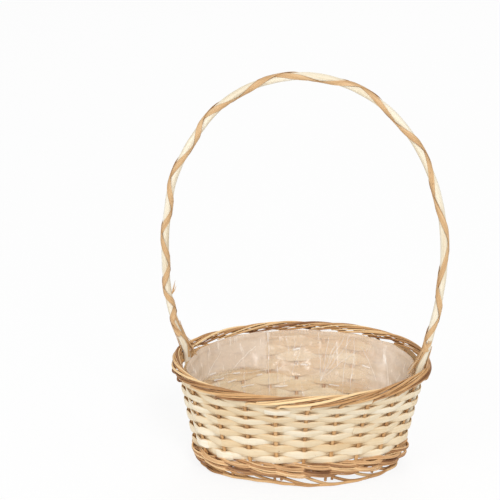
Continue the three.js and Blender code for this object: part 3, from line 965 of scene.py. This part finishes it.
# %% The hoop's line
def spline(points, steps):
    """A smooth curve through points, without overshoot where their spacing changes."""
    ends = [points[0] * 2 - points[1], *points, points[-1] * 2 - points[-2]]
    path = []
    for a, b, c, d in zip(ends, ends[1:], ends[2:], ends[3:]):
        t1 = math.sqrt((b - a).length)
        t2 = t1 + math.sqrt((c - b).length)
        t3 = t2 + math.sqrt((d - c).length)
        for step in range(steps):
            t = mix(t1, t2, step / steps)
            a1 = a.lerp(b, t / t1)
            a2 = b.lerp(c, (t - t1) / (t2 - t1))
            a3 = c.lerp(d, (t - t2) / (t3 - t2))
            b1, b2 = a1.lerp(a2, t / t2), a2.lerp(a3, (t - t1) / (t3 - t1))
            path.append(b1.lerp(b2, (t - t1) / (t2 - t1)))
    return [*path, points[-1]]


def evenly(path, count):
    """The same path with evenly spaced points."""
    along = distances(path)
    made = []
    for share in shares(count + 1):
        target = along[-1] * share
        k = clamp(bisect.bisect_left(along, target), 1, len(path) - 1)
        part = (target - along[k - 1]) / (along[k] - along[k - 1])
        made.append(path[k - 1].lerp(path[k], part))
    return made


right_place = LEG_PAST_STAKE - 1
left_place = right_place + STAKE_COUNT / 2
right_foot = level_point(right_place, LEG_OUTSET, border_height)
sideways = right_foot.y / right_foot.x


def hoop_point(x, up):
    return Vector((x, x * sideways, border_height + up * HOOP_RISE))


def swell_point(side, out, up):
    return hoop_point(side * mix(right_foot.x, HOOP_HALF_WIDTH, out), up)


leg_heights = [LEG_TIP_HEIGHT, (LEG_TIP_HEIGHT + weave_top) / 2, weave_top]
hoop_points = [
    *(level_point(left_place, 0, height) for height in leg_heights),
    level_point(left_place, LEG_OUTSET, border_height),
    *(swell_point(-1, out, up) for out, up in LEFT_SWELL),
    *(hoop_point(-out * HOOP_HALF_WIDTH, up) for out, up in LEFT_SHOULDER),
    hoop_point(TOP_LEAN * HOOP_HALF_WIDTH, 1),
    *(hoop_point(out * HOOP_HALF_WIDTH, up) for out, up in RIGHT_SHOULDER),
    *(swell_point(1, out, up) for out, up in RIGHT_SWELL),
    right_foot,
    *(level_point(right_place, 0, height) for height in reversed(leg_heights)),
]

HOOP_STATIONS = 360
SPLINE_STEPS, HOOP_RELAXING = 24, 12
hoop_path = relax(evenly(spline(hoop_points, SPLINE_STEPS), HOOP_STATIONS), HOOP_RELAXING)
hoop_length = distances(hoop_path)[-1]
print("hoop length", round(hoop_length, 3))

# %% The peeled rod
# share of the hoop's rise in which a leg thickens to the hoop
THICKENING = 0.104


def hoop_radius(height):
    if height < border_height:
        share = clamp((height - LEG_TIP_HEIGHT) / (border_height - LEG_TIP_HEIGHT))
        return mix(LEG_TIP_RADIUS, LEG_RADIUS, share)
    above = (height - border_height) / (THICKENING * HOOP_RISE)
    return mix(LEG_RADIUS, HOOP_RADIUS, smooth(above))


def hoop_frame(along):
    """Centre, direction, the side in the hoop's plane, the side across it, and the radius."""
    place = clamp(along / hoop_length * HOOP_STATIONS, 0, HOOP_STATIONS)
    index = min(int(place), HOOP_STATIONS - 1)
    centre = hoop_path[index].lerp(hoop_path[index + 1], place - index)
    ahead = hoop_path[min(index + 2, HOOP_STATIONS)] - hoop_path[max(index - 1, 0)]
    ahead = ahead.normalized()
    across = NORTH.cross(ahead).normalized()
    return centre, ahead, across, ahead.cross(across), hoop_radius(centre.z)


def make_hoop():
    shape = new_piece()
    radii = [hoop_radius(point.z) for point in hoop_path]
    add_rod(shape, hoop_path, NORTH, radii, 0.3, 0.5, sides=16, wander=0)
    return shape


finish_piece(make_hoop(), "hoop_rod", "peeled_willow", ["handle_hoop"])

# %% [markdown]
# ### Skeins
#
# Two flat strips of bark are wound round the hoop in opposite directions. They meet at the hoop's
# left and right sides, so from the front they look like one zigzag. The turns are short at the left
# foot and long on the right, because they were wound by hand. Each strip hugs the rod: its points
# are placed on an unrolled cylinder and wrapped round.

# %% Skeins
# lengths of the half turns from the left foot on, as shares
HALF_TURNS = [26, 26, 28, 33, 44, 33, 46, 52, 40, 52, 58, 56, 54, 60, 52, 62, 62, 58, 44, 36, 30]
SKEIN_ENDS = 10 * MM, 14 * MM
SKEIN_STATIONS = 520
SKEIN_OUTLINE = [(x, -1) for x in (-1, -0.5, 0, 0.5, 1)] + [(x, 1) for x in (1, 0.5, 0, -0.5, -1)]
border_top = border_height + BORDER_RISE + FOOT_ROD_RADIUS
first_station = next(i for i, p in enumerate(hoop_path) if p.z > border_top + SKEIN_WIDTH)
first_turn = hoop_length * first_station / HOOP_STATIONS
wound_length = hoop_length - 2 * first_turn
turn_scale = wound_length / sum(HALF_TURNS)
turn_marks = [first_turn]
for size in HALF_TURNS:
    turn_marks.append(turn_marks[-1] + size * turn_scale)


def skein_turn(along):
    """How far round the hoop a skein has gone: half a turn from mark to mark."""
    k = int(clamp(bisect.bisect_right(turn_marks, along), 1, len(turn_marks) - 1))
    part = (along - turn_marks[k - 1]) / (turn_marks[k] - turn_marks[k - 1])
    return math.pi * (k - 1 + part)


def mark_edges(shape):
    """Stores how far across a skein each point is, for the bark's dark edges."""
    edge = shape.verts.layers.float["edge"]
    grain = shape.verts.layers.float_vector["grain"]
    for vert in shape.verts:
        vert[edge] = vert[grain].z / (SKEIN_WIDTH / 2)
    return shape


def make_skein(layer, direction):
    stand = (SKEIN_CLEARANCE * 0.3 + SKEIN_THICKNESS / 2) + layer * SKEIN_THICKNESS * 0.9
    seed = layer * 7.7 + 1

    def spot(along, turn, extra):
        centre, _, across, depth, radius = hoop_frame(along)
        face = across * math.cos(turn) + depth * math.sin(turn)
        return centre + face * (radius + extra)

    def point_at(ring, x, y):
        share = ring / (SKEIN_STATIONS - 1)
        along = first_turn + SKEIN_ENDS[0] + (wound_length - sum(SKEIN_ENDS)) * share
        gap = 1 * MM
        rate = (skein_turn(along + gap) - skein_turn(along - gap)) / (2 * gap)
        turn = direction * skein_turn(along)
        radius = HOOP_RADIUS + stand
        lean = math.atan(direction * rate * radius)
        width = SKEIN_WIDTH / 2 * (0.92 + 0.25 * noise.noise(Vector((along * 22, seed, 0))))
        offset = x * width + 0.5 * MM * noise.noise(Vector((along * 30, seed, 5)))
        moved = along - math.sin(lean) * offset
        around = turn + math.cos(lean) * offset / radius
        thick = SKEIN_THICKNESS / 2 * y * (1 - 0.35 * abs(x))
        point = spot(moved, around, stand + thick)
        return point, Vector((along + seed, thick, offset)), 0.5

    shape = new_piece()
    add_length(shape, SKEIN_OUTLINE, SKEIN_STATIONS, point_at)
    return mark_edges(shape)


finish_piece(make_skein(0, 1), "skein_under", "willow_skein", ["handle_skein_inner"])
finish_piece(make_skein(1, -1), "skein_over", "willow_skein", ["handle_skein_outer"])
print("skein half turns", len(HALF_TURNS))

# %% [markdown]
# ### Loose strands
#
# At the hoop's feet the skeins' bark is torn into strands that spread over the border, more of
# them at the left. A torn bit also stands off the hoop's left side.

# %% Strands at the hoop's feet
STRAND_STATIONS = 26
# each strand: start and end of its turn round the rod (0 faces the basket's middle, -90 the front),
# how far it spreads, its width, and its top above its end
LEFT_STRANDS = [
    (175, 170, 1.6, 1.9, 34), (-150, -160, 0.6, 1.6, 30), (10, 20, 3.5, 2.4, 32),
    (-35, -10, 7, 2, 30), (30, 45, 9, 1.9, 27), (60, 65, 12, 1.7, 25), (-10, 10, 12.5, 1.5, 24),
    (110, 90, 5, 2, 28), (20, 62, 14.5, 2, 22), (45, 80, 15.5, 1.8, 20), (5, 40, 15, 1.7, 21),
    (70, 92, 14, 2, 24), (0, -20, 1.0, 2.2, 42), (-60, 20, 1.2, 2.8, 52), (-120, 0, 0.6, 3, 46),
    (90, -60, 0.4, 3.4, 44),
]
RIGHT_STRANDS = [
    (10, -5, 2.5, 2.2, 40), (-30, -15, 5.5, 2, 37), (35, 20, 7.5, 1.9, 34),
    (-5, -25, 9.5, 1.5, 30), (175, 180, 2.2, 2.1, 37), (-160, -150, 4, 1.8, 33),
    (150, 160, 3.2, 1.8, 30), (-80, 0, 0.5, 2.8, 46), (-110, 180, 0.4, 2.8, 44),
    (100, 60, 2.4, 2, 30),
]


def station_at(side, height):
    """The hoop's station nearest to a height, on its left (-1) or right (1) side."""

    def miss(i):
        return abs(hoop_path[i].z - height) + (hoop_path[i].x * side < 0)

    return min(range(HOOP_STATIONS + 1), key=miss)


def strand_along(shape, leg, top, bottom, turns, spread, width, seed):
    """A thin strand from the hoop's side at one height to beside it at a lower one."""
    ends = station_at(leg, top), station_at(leg, bottom)
    stations = []
    for share in shares(STRAND_STATIONS):
        along = mix(*ends, share) / HOOP_STATIONS * hoop_length
        centre, ahead, across, depth, radius = hoop_frame(along)
        turn = math.radians(mix(*turns, smooth(share)))
        face = (across * math.cos(turn) + depth * math.sin(turn)).normalized()
        stray = noise.noise(Vector((share * 3, seed, 0))) * 1.5 * MM
        centre = centre + face * (radius + 1.0 * MM + spread * share**2.2 + stray * share)
        taper = min(0.2 + share * 7, 1) * mix(1, 0.75, share)
        stations.append((centre, face, ahead.cross(face), along, taper))

    def point_at(ring, x, y):
        centre, face, side, along, taper = stations[ring]
        offset, thick = x * width / 2 * taper, y * 0.45 * MM * (1 - 0.4 * abs(x))
        return centre + side * offset + face * thick, Vector((along + seed, thick, offset)), 0.5

    add_length(shape, SKEIN_OUTLINE, STRAND_STATIONS, point_at)


def make_loose_strands(leg, strands):
    shape = new_piece()
    chance = random.Random(600 + leg)
    for start, end, spread, width, rise in strands:
        low = border_height + chance.uniform(-5, 0) * MM
        strand_along(
            shape, leg, low + rise * MM, low, (start, end), spread * MM, width * MM,
            chance.uniform(0, 20),
        )
    return mark_edges(shape)


finish_piece(make_loose_strands(-1, LEFT_STRANDS), "loose_strands_left", "willow_skein")
finish_piece(make_loose_strands(1, RIGHT_STRANDS), "loose_strands_right", "willow_skein")

# %% Frayed end
FRAY_HEIGHT = 206 * MM
# each shred: how far it reaches and rises, how much it bends, and its seed
SHREDS = ((4.5, 17, 2, 1), (2.2, 13, -1, 2), (6.0, 10, 3, 3), (3.4, 7, -2, 4))


def make_frayed_end():
    """A torn bit of bark that stands off the left side of the hoop."""
    shape = new_piece()
    root = hoop_path[station_at(-1, FRAY_HEIGHT)]
    start = root + Vector((HOOP_RADIUS + 0.6 * MM, -1.5 * MM, 0))
    for reach, rise, bend, seed in SHREDS:
        path, radii = [], []
        for share in shares(9):
            side = reach * share + bend * math.sin(share * 5) * 0.35 * share
            path.append(start + Vector((side, -0.8 * share, rise * share - 3)) * MM)
            radii.append(mix(0.75, 0.2, share) * MM)
        add_rod(shape, path, NORTH, radii, seed * 2.1, 0.5, 6, wander=0.2 * MM)
    return shape


finish_piece(make_frayed_end(), "frayed_end", "willow_skein")
print("handle done")

# %% [markdown]
# ## Base
#
# Round sticks lie across the basket on the brown rods, and flat slats are woven over and under
# them.

# %% Sticks and slats
stick_height = wale_top + CLEARANCE + BASE_STICK_RADIUS
slat_offset = BASE_STICK_RADIUS + CLEARANCE + BASE_SLAT_THICKNESS / 2
base_half_length, base_half_width = oval_at(wale_top)
stick_inset = strip_offset + STRIP_THICKNESS / 2 + CLEARANCE
wale_inset = STAKE_RADIUS + 2 * (WALE_RADIUS + CLEARANCE) + CLEARANCE
stick_pitch = 2 * (base_half_length - stick_inset) / (BASE_STICKS + 1)
slat_pitch = 2 * (base_half_width - wale_inset) / BASE_SLATS


def free_half(half, cross_half, distance):
    """Half of the room across an oval, a distance away from its middle."""
    return half * math.sqrt(max(1 - (distance / cross_half) ** 2, 0))


def make_stick(index):
    x = (index - (BASE_STICKS - 1) / 2) * stick_pitch
    half = free_half(
        base_half_width - stick_inset, base_half_length - stick_inset, abs(x) + BASE_STICK_RADIUS
    )
    path = [Vector((x, y, stick_height)) for y in steps_between(-half, half, 4 * MM)]
    shape = new_piece()
    add_rod(shape, path, ABOVE, BASE_STICK_RADIUS, index + 40.5, 0.4, wander=0.15 * MM)
    return shape


def make_slat(slat):
    y_middle = (slat - (BASE_SLATS - 1) / 2) * slat_pitch
    slat_half = (slat_pitch - BASE_SLAT_GAP) / 2
    half = free_half(
        base_half_length - wale_inset, base_half_width - wale_inset, abs(y_middle) + slat_half
    )
    places = steps_between(-half, half, 2.5 * MM)
    tone = random.Random(500 + slat).uniform(0.2, 0.6)

    def point_at(ring, x, y):
        where = places[ring] / stick_pitch + (BASE_STICKS - 1) / 2
        rise = clamp(math.cos(math.pi * (where + slat)) * 1.5, -1, 1) * slat_offset
        thick = BASE_SLAT_THICKNESS / 2 * x * 0.85
        point = Vector((places[ring], y_middle + y * slat_half, stick_height + rise + thick))
        return point, Vector((places[ring] + slat * 1.1, thick, y * slat_half)), tone

    shape = new_piece()
    add_length(shape, STRIP_OUTLINE, len(places), point_at)
    return shape


finish_set(make_stick, BASE_STICKS, "cross_stick", "willow_rod", "base_stick")
finish_set(make_slat, BASE_SLATS, "split_slat", "split_willow", "base_slat")

# %% [markdown]
# ## Film liner
#
# The film is thin, clear and crinkled, and is laid in loose: a floor on the slats and a wall
# against the weave. It is milky where it is doubled, at the left and right ends above one long
# fold. A glossy sheet shows its folds as thin pale lines, so these are painted highlights: lines
# between two spots of the wall, each spot a place round the basket and a height. Short glints are
# painted highlights too.

# %% Shape of the film
FILM_SIDES, FLOOR_RINGS, WALL_RINGS = 320, 12, 56
SEAM_PLACE = 6.05
FOLD_LOW, FOLD_HIGH = 0.064, 0.087
MILKY_LEFT, MILKY_RIGHT, MILKY_MIDDLE, MILKY_RIM = 0.8, 0.9, 0.3, 0.25
FLOOR_CRINKLE, BROAD, RIDGES, PRESSED, DOUBLED = 0.9, 1.6, 0.8, 0.5, 1.5
FILM_THICKNESS = 0.05 * MM
film_floor = stick_height + slat_offset + BASE_SLAT_THICKNESS / 2 + CLEARANCE + 0.3 * MM
film_inset = strip_offset + STRIP_THICKNESS / 2 + 1.1 * MM
film_top = weave_top + 7 * MM


def milkiness(place, height):
    """How milky the film is: at both ends above the fold, a little between them and at its rim."""
    left = smooth((place - SEAM_PLACE) / 0.06) * smooth((12.3 - place) / 1.4)
    right = 1 - smooth((min(place, STAKE_COUNT - place) - 1.6) / 1.0)
    fold = mix(FOLD_LOW, FOLD_HIGH, clamp((place - 3) / 4))
    rim = MILKY_RIM * smooth((height - weave_top) / (3 * MM))
    above = smooth((height - fold) / (5 * MM))
    middle = MILKY_MIDDLE * (1 - left) * (1 - right)
    return clamp((left * MILKY_LEFT + right * MILKY_RIGHT + middle) * above + rim)


def ridge(spot):
    return 1 - abs(noise.noise(spot)) * 2


def crinkle(point, place, height):
    """How far a point of the film stands in from the wall."""
    broad = noise.noise(Vector((point.x * 26, point.y * 26, point.z * 14))) * 0.5 + 0.5
    fine = ridge(Vector((point.x * 60, point.y * 60, point.z * 30 + 4)))
    rows = (height - row_heights[0]) / (row_heights[-1] - row_heights[0]) * (ROW_COUNT - 1)
    pressed = math.cos(math.pi * place) * math.cos(math.pi * rows)
    doubled = milkiness(place, height)
    return (broad * BROAD + fine * RIDGES + pressed * PRESSED + doubled * DOUBLED) * MM


def floor_point(place, share):
    rim = level_point(place, -film_inset - 2 * MM, film_floor)
    point = Vector((rim.x * share, rim.y * share, film_floor))
    point.z += FLOOR_CRINKLE * MM * ridge(point * 60)
    return point, Vector((place * spacing, 0, 0)), 0.0


def wall_point(place, share):
    top = film_top + 1.6 * MM * noise.noise(lap_circle(place, 5, 0))
    height = mix(film_floor, top, share)
    foot = level_point(place, 1.5 * MM * smooth((height - weave_top) / (6 * MM)), height)
    square, _ = wall_axes(place, min(height, weave_top - 2 * MM))
    swell = (LEG_RADIUS - STAKE_RADIUS + LEG_ROOM) * near_leg(place, 0.4)
    swell *= smooth((height - 0.04) / 0.01)
    loose = crinkle(foot, place, height) * smooth(share * 6 + 0.2)
    point = foot - square * (film_inset + swell + loose)
    point.z = max(point.z, film_floor - 0.5 * MM)
    return point, Vector((place * spacing, height, 0)), milkiness(place, height)


def make_film():
    def point_at(ring, x, y):
        place = (math.atan2(y, x) / math.tau * STAKE_COUNT) % STAKE_COUNT
        if ring < FLOOR_RINGS:
            return floor_point(place, (ring + 0.4) / FLOOR_RINGS)
        return wall_point(place, (ring - FLOOR_RINGS) / (WALL_RINGS - 1))

    shape = new_piece()
    add_length(shape, circle(FILM_SIDES), FLOOR_RINGS + WALL_RINGS, point_at, capped=False)
    rims = [edge for edge in shape.edges if edge.is_boundary]
    middle = [edge for edge in rims if edge.verts[0].co.xy.length < 0.03]
    bmesh.ops.holes_fill(shape, edges=middle)
    bmesh.ops.triangulate(shape, faces=[face for face in shape.faces if len(face.verts) > 4])
    return shape


# %% Painted highlights on the film's folds, and its glints
# painted highlights: fold lines run between two spots, each a place and a height in mm; a glint has
# its place, its height and its half-length
FAN_FOOT = (4.1, 72)
FAN_TIPS = [(4.15, 104), (3.8, 116), (3.55, 112), (3.27, 119), (3.0, 117), (2.75, 108)]
FOLDS = [
    ((SEAM_PLACE, 58), (SEAM_PLACE - 0.03, 123)), ((7.4, 92), (6.5, 110)),
    ((3.27, 60), (3.15, 119)), ((2.95, 64), (2.87, 120)), ((1.9, 80), (2.6, 112)),
    ((8.4, 88), (6.1, 83)), ((5.3, 70), (4.8, 108)), ((1.3, 74), (1.7, 110)),
    ((8.6, 90), (7.9, 112)),
]
GLINTS = [
    (8.3, 92, 0.14), (8.05, 84, 0.2), (7.5, 78, 0.16), (7.3, 86, 0.12), (6.9, 70, 0.22),
    (6.4, 79, 0.1), (5.6, 66, 0.2), (4.7, 88, 0.12), (3.6, 68, 0.18), (2.4, 92, 0.14),
    (5.0, 104, 0.12),
]
FAN_WIDTH, FOLD_WIDTH, GLINT_WIDTH = 0.7 * MM, 0.8 * MM, 1.5 * MM


def near_line(wires, spot, start, end, width):
    """1 on the straight line between two spots of the wall, 0 a width away from it."""
    first = Vector((start[0] * spacing, start[1] * MM, 0))
    run = Vector((end[0] * spacing, end[1] * MM, 0)) - first
    away = wires.vector("SUBTRACT", spot, first)
    dot = wires.vector("DOT_PRODUCT", away, run / run.length_squared, "Value")
    share = wires.node("ShaderNodeClamp", {"Value": dot})
    nearest = wires.vector("SCALE", run, share)
    return wires.between(wires.vector("DISTANCE", away, nearest, "Value"), 0.0, width, 1.0, 0.0)


def near_lines(wires, spot, lines, width):
    return sum(near_line(wires, spot, start, end, width) for start, end in lines)


# %% Clear film
def make_clear_film():
    wires = Wires("clear_film")
    place = wires.node("ShaderNodeTexCoord", output="Object")
    cloud = wires.noise(place, detail=3, scale=34)
    small = wires.noise(place, detail=2, scale=80)
    shift = wires.node("ShaderNodeTexNoise", {"Vector": place, "Scale": 45.0}, output="Color")
    shift = wires.vector("SCALE", wires.vector("SUBTRACT", shift, (0.5, 0.5, 0.5)), 0.006)
    spot = wires.vector("ADD", wires.attribute("grain", "Vector"), shift)
    spot = wires.vector("MULTIPLY", spot, (1, 1, 0))
    fold_highlights = near_lines(wires, spot, [(FAN_FOOT, tip) for tip in FAN_TIPS], FAN_WIDTH)
    fold_highlights = fold_highlights + near_lines(wires, spot, FOLDS, FOLD_WIDTH)
    bars = [((place - half, height), (place + half, height)) for place, height, half in GLINTS]
    glints = near_lines(wires, spot, bars, GLINT_WIDTH)
    wrinkle = wires.between((small - 0.5).maths("ABSOLUTE"), 0.0, 0.025, 1.0, 0.0)
    drawn = wires.vector("MULTIPLY", spot, (150, 30, 0))
    streak = wires.between(wires.noise(drawn, detail=4, roughness=0.65), 0.56, 0.74)
    doubled = wires.attribute("tone") * (0.24 + cloud * 0.4)
    haze = 0.04 + cloud * 0.07 + doubled + wrinkle * 0.05 + streak * 0.24
    # pale: painted highlights along the folds and glints, with pale streaks; it whitens the colour
    # and raises the alpha
    pale = (fold_highlights * 0.4 + glints * 0.8 + streak * 0.4).maths("MINIMUM", 0.9)
    return wires.surface(
        Base_Color=wires.blend(pale, colour(250, 235, 218), colour(255, 253, 249)),
        Roughness=wires.between(cloud, 0.3, 0.7, 0.12, 0.3),
        Alpha=(haze + pale * 0.5).maths("MINIMUM", 0.92),
        Normal=wires.bump(small * 0.4 + cloud * 0.8 + pale * 0.2, 0.6, 3 * MM),
        IOR=1.45,
    )


materials["clear_film"] = make_clear_film()
film = finish_piece(make_film(), "film_lining", "clear_film", ["film_liner"])
print("film area", round(sum(face.area for face in film.data.polygons), 4))
solid = film.modifiers.new("film thickness", "SOLIDIFY")
solid.thickness = FILM_THICKNESS

# %% [markdown]
# ## Floor, light and camera
#
# The basket stands on a pale floor in soft light, as in a studio. The floor is nearly white to the
# camera, but it still takes the basket's shadow.

# %% Floor and world
WHITE = (1, 1, 1, 1)
FLOOR_HALF_SIZE, FLOOR_GLOW, WORLD_STRENGTH = 8, 0.86, 0.57


def make_floor():
    shape = bmesh.new()
    bmesh.ops.create_grid(shape, x_segments=1, y_segments=1, size=FLOOR_HALF_SIZE)
    mesh = bpy.data.meshes.new("floor")
    shape.to_mesh(mesh)
    shape.free()
    wires = Wires("pale_floor")
    wires.surface(Base_Color=colour(240, 240, 240), Roughness=0.9)
    rays = ("Is Camera Ray", "Is Glossy Ray", "Is Transmission Ray")
    seen = sum(wires.node("ShaderNodeLightPath", output=ray) for ray in rays)
    glow = wires.node("ShaderNodeEmission", {"Color": WHITE, "Strength": 1.0})
    plain = Signal(wires, wires.shader.outputs[0])
    share = seen.maths("MINIMUM", 1.0) * FLOOR_GLOW
    mixed = wires.node("ShaderNodeMixShader", {0: share, 1: plain, 2: glow})
    wires.feed(wires.tree.nodes["Material Output"].inputs["Surface"], mixed)
    mesh.materials.append(wires.material)
    floor = bpy.data.objects.new("floor", mesh)
    bpy.context.scene.collection.objects.link(floor)


def make_world():
    world = bpy.data.worlds.new("studio")
    world.use_nodes = True
    background = world.node_tree.nodes["Background"]
    background.inputs["Color"].default_value = WHITE
    background.inputs["Strength"].default_value = WORLD_STRENGTH
    bpy.context.scene.world = world


make_floor()
make_world()

# %% [markdown]
# The larger a lamp is, the softer its shadows are, so all three are discs wider than the basket:
# the key in front and above, a weaker fill at the left, and one behind. Each is turned towards a
# point a little above the border.

# %% Lamps
LAMP_TARGET = Vector((0, 0, 0.2))


def add_lamp(name, place, size, power):
    light = bpy.data.lights.new(name, "AREA")
    light.shape = "DISK"
    light.size = size
    light.energy = power
    lamp = bpy.data.objects.new(name, light)
    lamp.location = place
    lamp.rotation_euler = (LAMP_TARGET - Vector(place)).to_track_quat("-Z", "Y").to_euler()
    bpy.context.scene.collection.objects.link(lamp)


add_lamp("key", (0.7, -3.5, 2.9), 1.4, 104)
add_lamp("fill", (-3.2, -2.2, 1.6), 2.2, 40)
add_lamp("back", (0.4, 3.2, 3.0), 2.2, 40)

# %% [markdown]
# The camera is a long lens, two metres from the rim. The rim's middle lies right of and below the
# middle of the picture, so the camera aims past it by that much.

# %% Camera
PICTURE = 500
FOCAL_PIXELS = 1687
RIM_PIXEL = (301, 362)
DISTANCE = 2.0
SENSOR = 36
ELEVATION, AZIMUTH, ROLL = math.radians(23), math.radians(-4), math.radians(0.8)

rim_centre = Vector((0, 0, border_height))
back = Vector((
    math.sin(AZIMUTH) * math.cos(ELEVATION),
    -math.cos(AZIMUTH) * math.cos(ELEVATION),
    math.sin(ELEVATION),
))
camera_place = rim_centre + back * DISTANCE
right = ABOVE.cross(back).normalized()
up = back.cross(right)
turned_right = right * math.cos(ROLL) + up * math.sin(ROLL)
turned_up = up * math.cos(ROLL) - right * math.sin(ROLL)
per_pixel = DISTANCE / FOCAL_PIXELS
aim = rim_centre - turned_right * (RIM_PIXEL[0] - PICTURE / 2) * per_pixel
aim += turned_up * (RIM_PIXEL[1] - PICTURE / 2) * per_pixel
view = (camera_place - aim).normalized()
camera_right = turned_up.cross(view).normalized()
camera_up = view.cross(camera_right)
lens = bpy.data.cameras.new("camera")
lens.sensor_width = SENSOR
lens.lens = FOCAL_PIXELS / PICTURE * SENSOR
camera = bpy.data.objects.new("camera", lens)
turn = Matrix((camera_right, camera_up, view)).transposed().to_4x4()
camera.matrix_world = Matrix.Translation(camera_place) @ turn
bpy.context.scene.collection.objects.link(camera)
bpy.context.scene.camera = camera
bpy.context.scene.view_settings.view_transform = "Standard"
